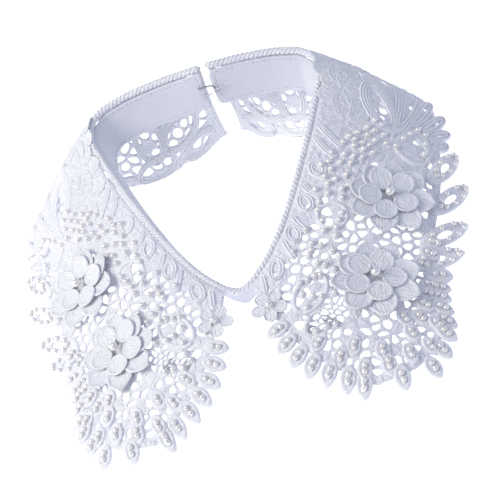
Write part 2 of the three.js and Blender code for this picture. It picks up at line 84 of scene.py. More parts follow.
CORD_SEAT = CORD_RADIUS + CLEAR
PETAL_WALL = 1.0
PETAL_RISE = 3.6
ORIGIN = np.array([0.0, -38.8347, -0.7538])  # of the frame, from the solids' own axes

# Values of the looks only
TABLE_GAP = 0.02  # least height of the lace over the table
SHOULDER_LEAN_LOSS = 0.3  # share of its lean that the band loses between shoulder and front
SEAM = 0.004  # points nearer than this become one where a shape closes
TINY = 1e-9  # guards a division
MOTIF_SEED = 5
CORNER_SEED = 3
PEARL_SEED = 11


@dataclass(frozen=True)
class Section:
    """One section of a half, as shares of the named sizes.

    along is its place from the back (0) to the front (1). side, ahead and up place the fold, out and on
    the run of the fall, belly its swell, and bow the sideways bend of its ruling.
    """

    along: float
    side: float
    ahead: float
    up: float
    out: float
    on: float
    belly: float
    bow: float


SECTIONS = (
    Section(0.0, 0.0, 1.0, 1.0, 0.037, 0.215, 0.7, 0),
    Section(0.12, 0.38, 1.011, 0.962, 0.0, 0.0, 1.0, 0),
    Section(0.24, 0.75, 0.995, 0.921, 0.083, -0.06, 1.0, 0),
    Section(0.29, 0.9, 0.97, 0.897, 0.425, -0.02, 0.6, 0),
    Section(0.32, 0.977, 0.928, 0.879, 0.808, -0.028, 0.5, 0),
    Section(0.36, 1.0, 0.86, 0.856, 0.983, -0.125, 0.5, 0),
    Section(0.44, 0.931, 0.739, 0.803, 1.083, -0.208, 0.7, 0),
    Section(0.56, 0.777, 0.549, 0.717, 1.2, -0.361, 0.8, 0),
    Section(0.68, 0.615, 0.379, 0.633, 1.2, -0.576, 0.8, 0),
    Section(0.8, 0.438, 0.216, 0.545, 1.208, -0.667, 0.8, 0.1),
    Section(0.9, 0.254, 0.087, 0.477, 1.275, -0.903, 0.8, 0.3),
    Section(0.93, 0.185, 0.052, 0.458, 1.2, -1.018, 0.75, 0.55),
    Section(0.96, 0.115, 0.021, 0.439, 0.908, -1.004, 0.7, 1.0),
    Section(1.0, 0.0, 0.0, 0.417, 0.5, -0.88, 0.7, 1.1),
)


class Half(Enum):
    """The two halves of the collar, as the viewer sees them."""

    LEFT = -1
    RIGHT = 1

    @property
    def word(self) -> str:
        """Name of the half in piece names."""
        return self.name.lower()


def smooth(value: np.ndarray | float, low: float, high: float) -> np.ndarray | float:
    """Smooth step from 0 at low to 1 at high."""
    t = np.clip((value - low) / (high - low), 0.0, 1.0)
    return t * t * (3.0 - 2.0 * t)


def unit(vectors: np.ndarray) -> np.ndarray:
    """Vectors made one long, along the last axis."""
    return vectors / np.maximum(np.linalg.norm(vectors, axis=-1, keepdims=True), TINY)


def gone_along(points: np.ndarray) -> np.ndarray:
    """Way gone along a path, at each of its points."""
    return np.concatenate([[0], np.cumsum(np.linalg.norm(np.diff(points, axis=0), axis=1))])


def between(at: np.ndarray, known: np.ndarray, table: np.ndarray) -> np.ndarray:
    """Rows of a table at places between the known ones."""
    return np.stack([np.interp(at, known, table[:, k]) for k in range(table.shape[1])], -1)


def rounded(rest: np.ndarray) -> np.ndarray:
    """Share of the full width near a round end, where rest goes from 0 at the end to 1."""
    return np.sqrt(np.clip(1 - (1 - np.clip(rest, 0, 1)) ** 2, 0, 1))


class Neckline:
    """Smooth columns of the section table, and the surfaces that they give."""

    def __init__(self) -> None:
        """Works out the cubics between the sections."""
        rows = np.array([astuple(section) for section in SECTIONS])
        self.along = rows[:, 0]
        values = rows[:, 1:]
        self.span = np.diff(self.along)
        span = self.span[:, None]
        rise = np.diff(values, axis=0)
        slope = rise / span
        tangent = np.zeros_like(values)
        tangent[0] = slope[0]
        tangent[-1, 0] = slope[-1, 0]
        tangent[1:-1] = (slope[:-1] * span[1:] + slope[1:] * span[:-1]) / (span[:-1] + span[1:])
        start, end = tangent[:-1] * span, tangent[1:] * span
        self.cubic = np.stack([values[:-1], start, 3 * rise - 2 * start - end, start + end - 2 * rise], -1)

    def columns(self, along: np.ndarray) -> np.ndarray:
        """Columns of the table at places along a half, one row for each place."""
        row = np.clip(np.searchsorted(self.along, along, side="right") - 1, 0, len(self.span) - 1)
        t = ((along - self.along[row]) / self.span[row])[:, None]
        c = self.cubic[row]
        return c[..., 0] + t * (c[..., 1] + t * (c[..., 2] + t * c[..., 3]))

    def slope(self, along: np.ndarray, across: np.ndarray) -> np.ndarray:
        """Points of the plain slope from fold to hem, on the right half."""
        c = self.columns(along)
        fold = np.stack([c[:, 0] * NECK_WIDTH / 2, c[:, 1] * NECK_DEPTH, c[:, 2] * BACK_HEIGHT], -1)
        run = np.stack([c[:, 3] * FALL_SPREAD, c[:, 4] * FLAP_REACH, LACE_WALL / 2 - fold[:, 2]], -1)
        aside = unit(np.stack([run[:, 1], -run[:, 0], np.zeros(len(run))], -1))
        bow = c[:, 6] * FRONT_BOW * np.sin(np.pi * across)
        return fold + run * across[:, None] + aside * bow[:, None]

    @staticmethod
    def back_move(side: float | np.ndarray, along: np.ndarray) -> np.ndarray:
        """Sideways move of the back ends, on the left (-1) or the right (1)."""
        share = np.clip(1 - along / SHOULDER_SHARE, 0, 1) ** 2
        return share * (side * CLOSURE_GAP / 2 + CLOSURE_SHIFT)

    def lace(self, half: Half, along: np.ndarray, across: np.ndarray, lift: np.ndarray) -> np.ndarray:
        """Points over the middle of the lace, raised along its normal, in metres in the frame."""
        step = 1e-3
        point = self.slope(along, across)
        on = self.slope(along + step, across) - point
        down = self.slope(along, across + step) - point
        normal = unit(np.cross(on, down))
        belly = self.columns(along)[:, 5] * FALL_BELLY * np.sin(np.pi * np.clip(across, 0, 1) ** 0.8)
        point = point + normal * (belly + LACE_WALL / 2 + CLEAR + lift)[:, None]
        point[:, 0] = point[:, 0] * half.value + self.back_move(half.value, along)
        point += ORIGIN
        point[:, 2] = np.maximum(point[:, 2], TABLE_GAP)
        return point * MM

    def fold(self, place: np.ndarray) -> np.ndarray:
        """Points of the fold, from the left back end (-1) over the front (0) to the right (1)."""
        along = 1 - np.abs(place)
        side = np.where(place < 0, -1.0, 1.0)
        c = self.columns(along)
        x = side * c[:, 0] * NECK_WIDTH / 2 + self.back_move(side, along)
        return np.stack([x, c[:, 1] * NECK_DEPTH, c[:, 2] * BACK_HEIGHT], -1) + ORIGIN

    def band(self, place: np.ndarray, sunk: np.ndarray, lift: np.ndarray) -> np.ndarray:
        """Points of the neckband: sunk is the way down from the fold, lift the way inward."""
        step = 2e-3
        ahead = self.fold(np.clip(place + step, -1, 1)) - self.fold(np.clip(place - step, -1, 1))
        inward = unit(np.stack([-ahead[:, 1], ahead[:, 0], np.zeros(len(place))], -1))
        along = 1 - np.abs(place)
        past = smooth(along, SHOULDER_SHARE, SHOULDER_SHARE + 0.1)
        lost = SHOULDER_LEAN_LOSS * (past - smooth(along, 0.8, 1))
        lean = np.radians(BAND_LEAN * (1 - lost))[:, None]
        up = np.array([0.0, 0.0, 1.0])
        down = inward * np.sin(lean) - up * np.cos(lean)
        face = inward * np.cos(lean) + up * np.sin(lean)
        return (self.fold(place) + down * sunk[:, None]
                + face * (BAND_WALL / 2 + CLEAR + lift)[:, None]) * MM


class Pattern:
    """The flat pattern of one half: x runs from the back to the front, y down to the hem."""

    def __init__(self, neckline: Neckline, stations: int = 129) -> None:
        """Unrolls the half, strip by strip."""
        self.neckline = neckline
        self.along = np.linspace(0, 1, stations)
        fold = neckline.slope(self.along, np.zeros(stations))
        hem = neckline.slope(self.along, np.ones(stations))
        gap = self._gap
        top, low = [np.zeros(2)], [np.array([0.0, gap(fold[0], hem[0])])]
        for i in range(stations - 1):
            top.append(self._third(top[i], low[i], gap(fold[i], fold[i + 1]), gap(hem[i], fold[i + 1])))
            low.append(self._third(top[i + 1], low[i], gap(fold[i + 1], hem[i + 1]), gap(hem[i], hem[i + 1])))
        self.top, self.low = np.array(top), np.array(low)
        e = unit(self.low - self.top)
        self.aside = np.stack([e[:, 1], -e[:, 0]], -1)

    @staticmethod
    def _gap(a: np.ndarray, b: np.ndarray) -> float:
        """Distance between two points."""
        return float(np.linalg.norm(a - b))

    @staticmethod
    def _third(a: np.ndarray, b: np.ndarray, from_a: float, from_b: float) -> np.ndarray:
        """Corner of a triangle on two known ones, on the side of the front."""
        base = float(np.linalg.norm(b - a))
        e = (b - a) / base
        foot = (base * base + from_a * from_a - from_b * from_b) / (2 * base)
        high = math.sqrt(max(0.0, from_a * from_a - foot * foot))
        return a + e * foot + np.array([e[1], -e[0]]) * high

    def _at(self, table: np.ndarray, along: np.ndarray) -> np.ndarray:
        """Rows of a table with a row for each station, between the stations."""
        return between(along, self.along, table)

    def depth(self, along: np.ndarray) -> np.ndarray:
        """Length of the ruling from fold to hem."""
        return np.linalg.norm(self._at(self.low - self.top, along), axis=1)

    def _bow(self, along: np.ndarray, across: np.ndarray) -> np.ndarray:
        """Sideways bow of the rulings near the front."""
        bow = self.neckline.columns(along)[:, 6] * FRONT_BOW * np.sin(np.pi * np.clip(across, 0, 1))
        return self._at(self.aside, along) * bow[:, None]

    def flat(self, places: Sequence[Sequence[float]] | np.ndarray) -> np.ndarray:
        """Points on the pattern from places (along, across)."""
        pairs = np.atleast_2d(np.asarray(places, float))
        along, across = pairs[:, 0], pairs[:, 1]
        top, low = self._at(self.top, along), self._at(self.low, along)
        return top + (low - top) * across[:, None] + self._bow(along, across)

    def _ruled(self, points: np.ndarray) -> tuple[np.ndarray, np.ndarray]:
        """Places of pattern points on straight rulings."""
        run = self.low - self.top
        long = np.linalg.norm(run, axis=1)
        off = points[:, None, :] - self.top[None]
        far = (run[:, 1] * off[..., 0] - run[:, 0] * off[..., 1]) / long
        row = np.clip((far >= 0).sum(1) - 1, 0, len(long) - 2)
        rows = np.arange(len(points))
        near, ahead = far[rows, row], far[rows, row + 1]
        t = near / np.where(np.abs(near - ahead) < TINY, TINY, near - ahead)
        along = self.along[row] + t * (self.along[1] - self.along[0])
        top, low = self._at(self.top, along), self._at(self.low, along)
        down = low - top
        across = ((points - top) * down).sum(1) / (down * down).sum(1)
        return along, across

    def places(self, points: np.ndarray) -> tuple[np.ndarray, np.ndarray]:
        """Places (along, across) of points on the pattern.

        Args:
            points: Points on the pattern, two columns.

        Returns:
            The places along the half and across the fall.
        """
        chunk = 20000  # points at a time, for the memory
        bow_start = 0.66  # the rulings are straight up to here
        rounds = 12
        along = np.empty(len(points))
        across = np.empty(len(points))
        for start in range(0, len(points), chunk):
            part = slice(start, start + chunk)
            a, c = self._ruled(points[part])
            bent = a > bow_start
            if bent.any():
                kept = points[part][bent]
                ab, cb = a[bent], c[bent]
                for _ in range(rounds):
                    ab, cb = self._ruled(kept - self._bow(ab, cb))
                a[bent], c[bent] = ab, cb
            along[part], across[part] = a, c
        return along, across

    def heading(self, place: Sequence[float]) -> float:
        """Angle on the pattern of the way down the fall at a place, in radians."""
        a, b = self.flat([(place[0], place[1]), (place[0], place[1] + 0.01)])
        return math.atan2(b[1] - a[1], b[0] - a[0])


@dataclass
class Stamp:
    """A small shape, made once by operators, that copies are made from."""

    points: np.ndarray
    faces: list[tuple[int, ...]]
    uv: np.ndarray

    @classmethod
    def cut(cls, bm: bmesh.types.BMesh, uv: np.ndarray | None = None) -> "Stamp":
        """Takes the shape out of a bmesh, which is freed.

        Args:
            bm: The shape.
            uv: UV places of its points. Plain x and y are used without them.

        Returns:
            The stamp.
        """
        bmesh.ops.recalc_face_normals(bm, faces=bm.faces)
        bm.verts.index_update()
        points = np.array([v.co[:] for v in bm.verts]).reshape(-1, 3)
        faces = [tuple(v.index for v in f.verts) for f in bm.faces]
        bm.free()
        return cls(points, faces, points[:, :2] / UV_UNIT if uv is None else uv)

    def placed(self, at: Sequence[float], turn: float = 0.0,
               size: Sequence[float] = (1, 1, 1)) -> np.ndarray:
        """Points of a copy: scaled, turned in its plane, and moved."""
        c, s = math.cos(turn), math.sin(turn)
        p = self.points * np.array(size)
        return np.stack([p[:, 0] * c - p[:, 1] * s, p[:, 0] * s + p[:, 1] * c, p[:, 2]], -1) + np.array(at)


@dataclass
class Batch:
    """Many copies of stamps that become one piece."""

    name: str
    points: list[np.ndarray] = field(default_factory=list)
    faces: list[tuple[int, ...]] = field(default_factory=list)
    uv: list[np.ndarray] = field(default_factory=list)
    count: int = 0

    def add(self, stamp: Stamp, points: np.ndarray | None = None) -> None:
        """Adds a copy of a stamp, at its own place or with the points given."""
        made = stamp.points if points is None else points
        self.points.append(made)
        self.uv.append(stamp.uv)
        self.faces.extend(tuple(i + self.count for i in face) for face in stamp.faces)
        self.count += len(made)

    def piece(self, to_frame: Callable[[np.ndarray], np.ndarray], flip: bool = False) -> bpy.types.Object:
        """Makes the piece.

        Args:
            to_frame: Gives the points in the frame, in metres.
            flip: Whether the way to the frame turns the shape inside out.

        Returns:
            The new object, at the origin.
        """
        uv = np.concatenate(self.uv)
        mesh = bpy.data.meshes.new(self.name)
        faces = [face[::-1] for face in self.faces] if flip else self.faces
        mesh.from_pydata(to_frame(np.concatenate(self.points)).tolist(), [], faces)
        layer = mesh.uv_layers.new(name="UVMap")
        corner = np.zeros(len(mesh.loops), np.int32)
        mesh.loops.foreach_get("vertex_index", corner)
        layer.data.foreach_set("uv", uv[corner].astype(np.float32).ravel())
        mesh.polygons.foreach_set("use_smooth", np.ones(len(mesh.polygons), bool))
        mesh.update()
        made = bpy.data.objects.new(self.name, mesh)
        bpy.context.scene.collection.objects.link(made)
        return made


def path_through(points: np.ndarray, step: float, closed: bool = False) -> np.ndarray:
    """Smooth path through points, with evenly spaced points of its own.

    Args:
        points: Points to go through.
        step: Distance between the new points.
        closed: Whether the path runs back to its start.

    Returns:
        The new points.
    """
    p = np.asarray(points, float)
    ends = (p[-1:], p[:1], p[1:2]) if closed else (2 * p[:1] - p[1:2], p[:0], 2 * p[-1:] - p[-2:-1])
    q = np.concatenate([ends[0], p, ends[1], ends[2]])
    t = np.linspace(0, 1, 16, endpoint=False)[:, None]
    spans = []
    for i in range(1, len(q) - 2):
        a, b, c, d = q[i - 1], q[i], q[i + 1], q[i + 2]
        spans.append(0.5 * (2 * b + (c - a) * t + (2 * a - 5 * b + 4 * c - d) * t ** 2
                            + (3 * b - a - 3 * c + d) * t ** 3))
    fine = np.concatenate([*spans, q[-2:-1]])
    gone = gone_along(fine)
    count = max(3, int(round(gone[-1] / step)) + 1)
    return between(np.linspace(0, gone[-1], count), gone, fine)


def ridged(width: float, ridges: int, height: float) -> np.ndarray:
    """Closed section of a cord with parallel ridges, the same on both faces."""
    t = np.linspace(0, 1, 4 * ridges + 1)
    edge = np.sqrt(np.clip(1 - np.abs(2 * t - 1) ** 6, 0, 1))
    valley = 0.42  # height between two ridges, as a share
    top = edge * height * (valley + (1 - valley) * np.abs(np.sin(np.pi * ridges * t)) ** 0.7)
    out = (t - 0.5) * width
    upper = np.stack([out, top], -1)
    lower = np.stack([out[::-1], -top[::-1]], -1)
    return np.concatenate([upper, lower[1:]])


def sheet(columns: int, rows: int) -> tuple[bmesh.types.BMesh, np.ndarray, np.ndarray]:
    """A sheet of points to lay over a shape, with the column and the row of each point."""
    bm = bmesh.new()
    bmesh.ops.create_grid(bm, x_segments=columns - 1, y_segments=rows - 1, size=1)
    seed = np.array([v.co[:2] for v in bm.verts])
    column = np.rint((seed[:, 0] + 1) / 2 * (columns - 1)).astype(int)
    row = np.rint((seed[:, 1] + 1) / 2 * (rows - 1)).astype(int)
    return bm, column, row


def laid(bm: bmesh.types.BMesh, points: np.ndarray, uv: np.ndarray, seam: float = SEAM,
         fill: bool = False) -> Stamp:
    """Lays a sheet over a shape.

    Args:
        bm: The sheet, which is freed.
        points: New places of its points.
        uv: Their UV places, in millimetres.
        seam: Points nearer than this become one.
        fill: Whether its open ends get a face.

    Returns:
        The shape.
    """
    layer = bm.verts.layers.float_vector.new("uv")
    for vert, point, (u, v) in zip(bm.verts, points, uv / UV_UNIT):
        vert.co = point
        vert[layer] = (u, v, 0)
    bmesh.ops.remove_doubles(bm, verts=bm.verts, dist=seam)
    if fill:
        bmesh.ops.holes_fill(bm, edges=bm.edges, sides=0)
    return Stamp.cut(bm, np.array([v[layer][:2] for v in bm.verts]))


def swept(path: np.ndarray, section: np.ndarray, closed: bool, round_ends: float = 0.0) -> Stamp:
    """Cord along a path on the pattern.

    Args:
        path: Points on the pattern.
        section: Closed section as (aside, up), its first point repeated at the end.
        closed: Whether the path runs into itself.
        round_ends: Length over which an open cord narrows to its end.

    Returns:
        The cord. Its UV runs along and across it.
    """
    ahead = np.gradient(path, axis=0)
    if closed:
        ahead[0] = ahead[-1] = path[1] - path[-2]
    ahead = unit(ahead)
    aside = np.stack([-ahead[:, 1], ahead[:, 0]], -1)
    gone = gone_along(path)
    share = np.ones(len(path))
    if not closed and round_ends > 0:
        share = rounded(np.minimum(gone, gone[-1] - gone) / round_ends)
    bm, i, j = sheet(len(path), len(section))
    xy = path[i] + aside[i] * (section[j, 0] * share[i])[:, None]
    points = np.column_stack([xy, section[j, 1] * share[i]])
    return laid(bm, points, np.stack([gone[i], section[j, 0]], -1))


class Middle(Enum):
    """What the middle of a pad is."""

    FLAT = 1
    RAISED = 2
    OPEN = 3


def pad(segments: int, radius: float, rims: Sequence[tuple[float, float]], middle: Middle,
        seam: float) -> bmesh.types.BMesh:
    """A round pad, the same on both faces.

    Args:
        segments: Corners of its outline.
        radius: Its radius.
        rims: Steps from the outline inward, each with its width and its rise.
        middle: What is left inside the last step.
        seam: Points of the two faces nearer than this become one.

    Returns:
        The pad, round the origin.
    """
    bm = bmesh.new()
    bmesh.ops.create_circle(bm, cap_ends=True, segments=segments, radius=radius)
    floor = list(bm.faces)
    for width, rise in rims:
        bmesh.ops.inset_region(bm, faces=floor, thickness=width, depth=rise, use_boundary=True,
                               use_even_offset=True)
    if middle is Middle.OPEN:
        bmesh.ops.delete(bm, geom=floor, context="FACES")
    elif middle is Middle.RAISED:
        bmesh.ops.poke(bm, faces=floor)
    bmesh.ops.mirror(bm, geom=bm.verts[:] + bm.edges[:] + bm.faces[:], merge_dist=seam, axis="Z")
    return bm


class Ground(Enum):
    """What a cell of the lace ground is."""

    OPEN = 1
    PADDED = 2


@dataclass(frozen=True)
class GroundField:
    """A stretch of the ground: its places, the size of its cells, how many are open, and its bars."""

    along: tuple[float, float]
    across: tuple[float, float]
    pitch: float
    open: float
    bar: float


GROUND_FIELDS = (
    GroundField((-1.0, 0.315), (-1, 2), 6.2, 0.95, 0.7),
    GroundField((0.315, 0.36), (-1, 2), 5.2, 0.35, 0.8),
    GroundField((0.36, 0.57), (-1, 0.42), 3.7, 0.0, 0.5),
    GroundField((0.36, 0.57), (0.42, 2), 4.8, 0.25, 0.8),
    GroundField((0.57, 0.70), (-1, 0.36), 3.7, 0.0, 0.55),
    GroundField((0.57, 0.70), (0.36, 2), 4.8, 0.55, 0.75),
    GroundField((0.70, 2.0), (-1, 0.13), 4.2, 0.15, 0.7),
    GroundField((0.39, 0.46), (0.36, 0.46), 6.0, 1.0, 0.4),
    GroundField((0.70, 2.0), (0.13, 2), 4.8, 0.75, 0.75),
    GroundField((0.86, 2.0), (0.55, 2), 4.6, 0.68, 0.7),
    GroundField((0.898, 0.938), (0.40, 0.47), 2.4, 1.0, 0.4),
)


@dataclass(frozen=True)
class Row:
    """Evenly spaced places on a fall, from one to another."""

    start: tuple[float, float]
    end: tuple[float, float]
    count: int

    def places(self) -> list[tuple[float, float]]:
        """The places, both ends included."""
        shares = np.linspace(0, 1, self.count)
        return [(self.start[0] + (self.end[0] - self.start[0]) * s,
                 self.start[1] + (self.end[1] - self.start[1]) * s) for s in shares]


@dataclass(frozen=True)
class Bloom:
    """Where a flower sits on each fall, and its turn in degrees."""

    along: float
    across: float
    turn: float


BLOOMS = (Bloom(0.648, 0.515, 10), Bloom(0.84, 0.555, 40))
CORNER_BLOOM = Bloom(0.95, 0.19, 0)


@dataclass
class LaceGround:
    """The pierced ground of one half: cells with a hole or a padded middle, between bars."""

    pattern: Pattern
    wall: float = 1.3
    pad: float = 0.5
    pad_rim: float = 0.5
    seed: int = 7
    edge_pitch: float = 3.4
    edge_inset: float = 1.5
    tries: int = 30000
    spacing: float = 0.86
    bloom_pitch: float = 7.0
    bloom_pitch_reach: float = 15.0
    bloom_closed_reach: float = 14.0
    largest_cell: float = 14.0
    shortest_side: float = 0.5
    under_cord: float = 0.7
    side_rise: float = 0.09
    scallop: float = 0.13
    scallop_out: float = 0.035
    scallop_in: float = 0.075
    front_drop: float = 0.025
    corner_rise: float = 0.05

    def outline(self) -> np.ndarray:
        """Closed outline of the cloth on the pattern. Its hem is a share of the fall."""
        steps = np.linspace(0, 1, 80)
        zero, one = np.zeros_like(steps), np.ones_like(steps)
        sides = [(steps * LACE_END, zero), (one * LACE_END, steps),
                 (steps[::-1] * LACE_END, one), (zero, steps[::-1])]
        station = np.concatenate([s[0] for s in sides])
        q = np.concatenate([s[1] for s in sides])
        front = LACE_END + (FRONT_HEM - LACE_END) * smooth(q, 0, 0.36)
        along = station * front / LACE_END
        hem = 1 + (HEM_SHARE - 1) * smooth(along, SHOULDER_SHARE - 0.06, SHOULDER_SHARE + 0.02)
        # Higher above the ringed leaves at the side
        hem -= self.side_rise * smooth(along, 0.33, 0.36) * (1 - smooth(along, 0.72, 0.75))
        # Scallops round the back
        wave = np.abs(np.sin(np.pi * (along - 0.012) / self.scallop))
        hem += (self.scallop_out - self.scallop_in * (1 - wave) ** 2) * (1 - smooth(along, 0.27, 0.3))
        # Lower under the upright leaves of the front, and higher at its corner
        hem += self.front_drop * smooth(along, 0.76, 0.82) * (1 - smooth(along, 0.90, 0.93))
        hem -= self.corner_rise * smooth(along, 0.91, 0.95)
        top = (CORD_SEAT - self.under_cord) / self.pattern.depth(along)
        return self.pattern.flat(np.stack([along, top + (hem - top) * q], -1))

    def cut(self) -> tuple[tuple[float, float], float]:
        """Size of the smallest straight box round the flat cut, and the area of the cut."""
        edge = self.outline()
        size = edge.max(0) - edge.min(0)
        x, y = edge.T
        area = abs(float(np.dot(x, np.roll(y, -1)) - np.dot(y, np.roll(x, -1)))) / 2
        return (float(size[1]), float(size[0])), area

    def _field(self, along: float, across: float) -> GroundField:
        """The field that a place lies in. Later fields lie over earlier ones."""
        found = GROUND_FIELDS[0]
        for item in GROUND_FIELDS:
            if item.along[0] <= along <= item.along[1] and item.across[0] <= across <= item.across[1]:
                found = item
        return found

    def _seeds(self) -> tuple[np.ndarray, np.ndarray, list[GroundField]]:
        """Middles of the cells, the guards outside the outline, and the fields of the cells."""
        edge = path_through(self.outline()[::3], self.edge_pitch)[:-1]
        ahead = unit(np.roll(edge, -1, 0) - np.roll(edge, 1, 0))
        out = np.stack([ahead[:, 1], -ahead[:, 0]], -1)
        within = self._inside(edge + out * 0.5, edge)
        out = np.where(within[:, None], -out, out)
        inner, guard = edge - out * self.edge_inset, edge + out * self.edge_inset
        rng = random.Random(self.seed)
        low, high = edge.min(0), edge.max(0)
        tries = np.array([[rng.uniform(low[0], high[0]), rng.uniform(low[1], high[1])]
                          for _ in range(self.tries)])
        tries = tries[self._inside(tries, edge)]
        along, across = self.pattern.places(tries)
        blooms = self.pattern.flat([(b.along, b.across) for b in BLOOMS])
        kept = list(inner)
        for point, a, c in zip(tries, along, across):
            pitch = self._field(a, c).pitch
            if np.min(np.hypot(*(blooms - point).T)) < self.bloom_pitch_reach:
                pitch = self.bloom_pitch
            near = np.array(kept) - point
            if np.min(np.einsum("ij,ij->i", near, near)) > (self.spacing * pitch) ** 2:
                kept.append(point)
        cells = np.array(kept)
        along, across = self.pattern.places(cells)
        return cells, guard, [self._field(a, c) for a, c in zip(along, across)]

    @staticmethod
    def _inside(points: np.ndarray, edge: np.ndarray) -> np.ndarray:
        """Whether points lie inside a closed outline."""
        a, b = edge, np.roll(edge, -1, 0)
        y = points[:, 1][:, None]
        crosses = (a[:, 1] > y) != (b[:, 1] > y)
        rise = np.where(b[:, 1] == a[:, 1], TINY, b[:, 1] - a[:, 1])
        x = a[:, 0] + (y - a[:, 1]) * (b[:, 0] - a[:, 0]) / rise
        return (crosses & (points[:, 0][:, None] < x)).sum(1) % 2 == 1

    def stamp(self) -> Stamp:
        """Builds the ground flat on the pattern.

        Returns:
            The ground, with its wall and its rounded bars.
        """
        cells, guard, fields = self._seeds()
        edge_cells = len(guard)
        blooms = self.pattern.flat([(b.along, b.across) for b in BLOOMS])
        bm = bmesh.new()
        faces = self._cells(bm, np.concatenate([cells, guard]), len(cells))
        rng = random.Random(self.seed + 1)
        kinds: dict[bmesh.types.BMFace, Ground] = {}
        bars: dict[float, list[bmesh.types.BMFace]] = {}
        for index, face in faces.items():
            under = np.min(np.hypot(*(blooms - cells[index]).T)) < self.bloom_closed_reach
            is_open = index >= edge_cells and not under and rng.random() < fields[index].open
            kinds[face] = Ground.OPEN if is_open else Ground.PADDED
            bars.setdefault(fields[index].bar, []).append(face)
        inner = list(kinds)
        for bar, cells_of_bar in bars.items():
            bmesh.ops.inset_individual(bm, faces=cells_of_bar, thickness=bar, use_even_offset=True)
        padded = [f for f in inner if kinds[f] is Ground.PADDED]
        bmesh.ops.inset_individual(bm, faces=padded, thickness=self.pad_rim, depth=self.pad,
                                   use_even_offset=True)
        gone = [f for f in inner if kinds[f] is Ground.OPEN]
        bmesh.ops.delete(bm, geom=gone, context="FACES")
        bmesh.ops.recalc_face_normals(bm, faces=bm.faces)
        return self._walled(bm)

    def _walled(self, bm: bmesh.types.BMesh) -> Stamp:
        """Gives flat bars their wall and rounds them. The bmesh is freed."""
        flat = bpy.data.meshes.new("ground_flat")
        bm.to_mesh(flat)
        bm.free()
        draft = bpy.data.objects.new("ground_draft", flat)
        bpy.context.scene.collection.objects.link(draft)
        wall = draft.modifiers.new("wall", "SOLIDIFY")
        wall.thickness = self.wall
        wall.offset = 0.0
        round_off = draft.modifiers.new("round", "SUBSURF")
        round_off.levels = round_off.render_levels = 1
        seen = draft.evaluated_get(bpy.context.evaluated_depsgraph_get())
        shaped = bpy.data.meshes.new_from_object(seen)
        bpy.data.objects.remove(draft)
        made = bmesh.new()
        made.from_mesh(shaped)
        return Stamp.cut(made)

    def _cells(self, bm: bmesh.types.BMesh, seeds: np.ndarray, count: int) -> dict[int, bmesh.types.BMFace]:
        """Adds the cell of each of the first seeds.

        Args:
            bm: Gets the faces.
            seeds: Middles of all cells.
            count: How many seeds, from the first, get a cell.

        Returns:
            The faces by seed.
        """
        flat = [Vector(p) for p in seeds.tolist()]
        verts, _, triangles, orig, _, _ = delaunay_2d_cdt(flat, [], [], 0, 1e-7)
        home = [o[0] if o else -1 for o in orig]
        corners, around = [], {}
        for tri in triangles:
            a, b, c = (np.array(verts[i]) for i in tri)
            ab, ac = b - a, c - a
            d = 2 * (ab[0] * ac[1] - ab[1] * ac[0])
            if abs(d) < TINY:
                continue
            bb, cc = (ab ** 2).sum(), (ac ** 2).sum()
            middle = a + np.array([ac[1] * bb - ab[1] * cc, ab[0] * cc - ac[0] * bb]) / d
            for i in tri:
                around.setdefault(home[i], []).append(len(corners))
            corners.append(middle)
        tags = bm.faces.layers.int.new("cell")
        points = [None] * len(corners)
        faces = {}
        for index in range(count):
            ring = around.get(index, [])
            if len(ring) < 3:
                continue
            off = np.array([corners[i] for i in ring]) - seeds[index]
            if np.max(np.hypot(*off.T)) > self.largest_cell:
                continue
            ring = [ring[i] for i in np.argsort(np.arctan2(off[:, 1], off[:, 0]))]
            for i in ring:
                if points[i] is None:
                    points[i] = bm.verts.new((corners[i][0], corners[i][1], 0))
            faces[index] = bm.faces.new([points[i] for i in ring])
        for index, face in faces.items():
            face[tags] = index + 1
        bmesh.ops.remove_doubles(bm, verts=bm.verts, dist=self.shortest_side)
        return {face[tags] - 1: face for face in bm.faces if face[tags] > 0}


@dataclass(frozen=True)
class Loop:
    """An oval cord between two places: its width outside, that of its band, and the band's ridges."""

    start: tuple[float, float]
    end: tuple[float, float]
    width: float
    band: float
    ridges: int


@dataclass(frozen=True)
class Spray:
    """An open cord through places: the width of its band and the band's ridges."""

    places: tuple[tuple[float, float], ...]
    band: float
    ridges: int


LOOPS = (
    Loop((0.366, 0.31), (0.492, 0.50), 20, 6.4, 4),
    Loop((0.490, 0.74), (0.466, 0.89), 8.4, 3.5, 2),
    Loop((0.474, 0.72), (0.424, 0.92), 8.4, 3.5, 2),
    Loop((0.466, 0.68), (0.382, 0.89), 8.4, 3.5, 2),
    Loop((0.458, 0.62), (0.342, 0.89), 8.4, 3.5, 2),
    Loop((0.05, 0.56), (0.175, 0.80), 20, 4.4, 3),
    Loop((0.205, 0.38), (0.207, 0.88), 19, 4.2, 3),
    Loop((0.262, 0.36), (0.30, 0.80), 17, 4.4, 3),
    Loop((0.02, 0.84), (0.128, 0.96), 15, 4.0, 3),
    Loop((0.145, 0.87), (0.245, 0.965), 15, 3.4, 2),
    Loop((0.885, 0.045), (0.925, 0.115), 9, 3.2, 2),
    Loop((0.80, 0.04), (0.835, 0.12), 9, 3.0, 2),
    Loop((0.715, 0.04), (0.75, 0.13), 9, 3.0, 2),
    Loop((0.62, 0.05), (0.655, 0.14), 10, 3.4, 2),
    Loop((0.705, 0.235), (0.775, 0.265), 17.5, 2.8, 1),
    Loop((0.872, 0.29), (0.935, 0.315), 17.0, 2.8, 1),
    Loop((0.482, 0.50), (0.545, 0.72), 21.0, 3.4, 1),
)
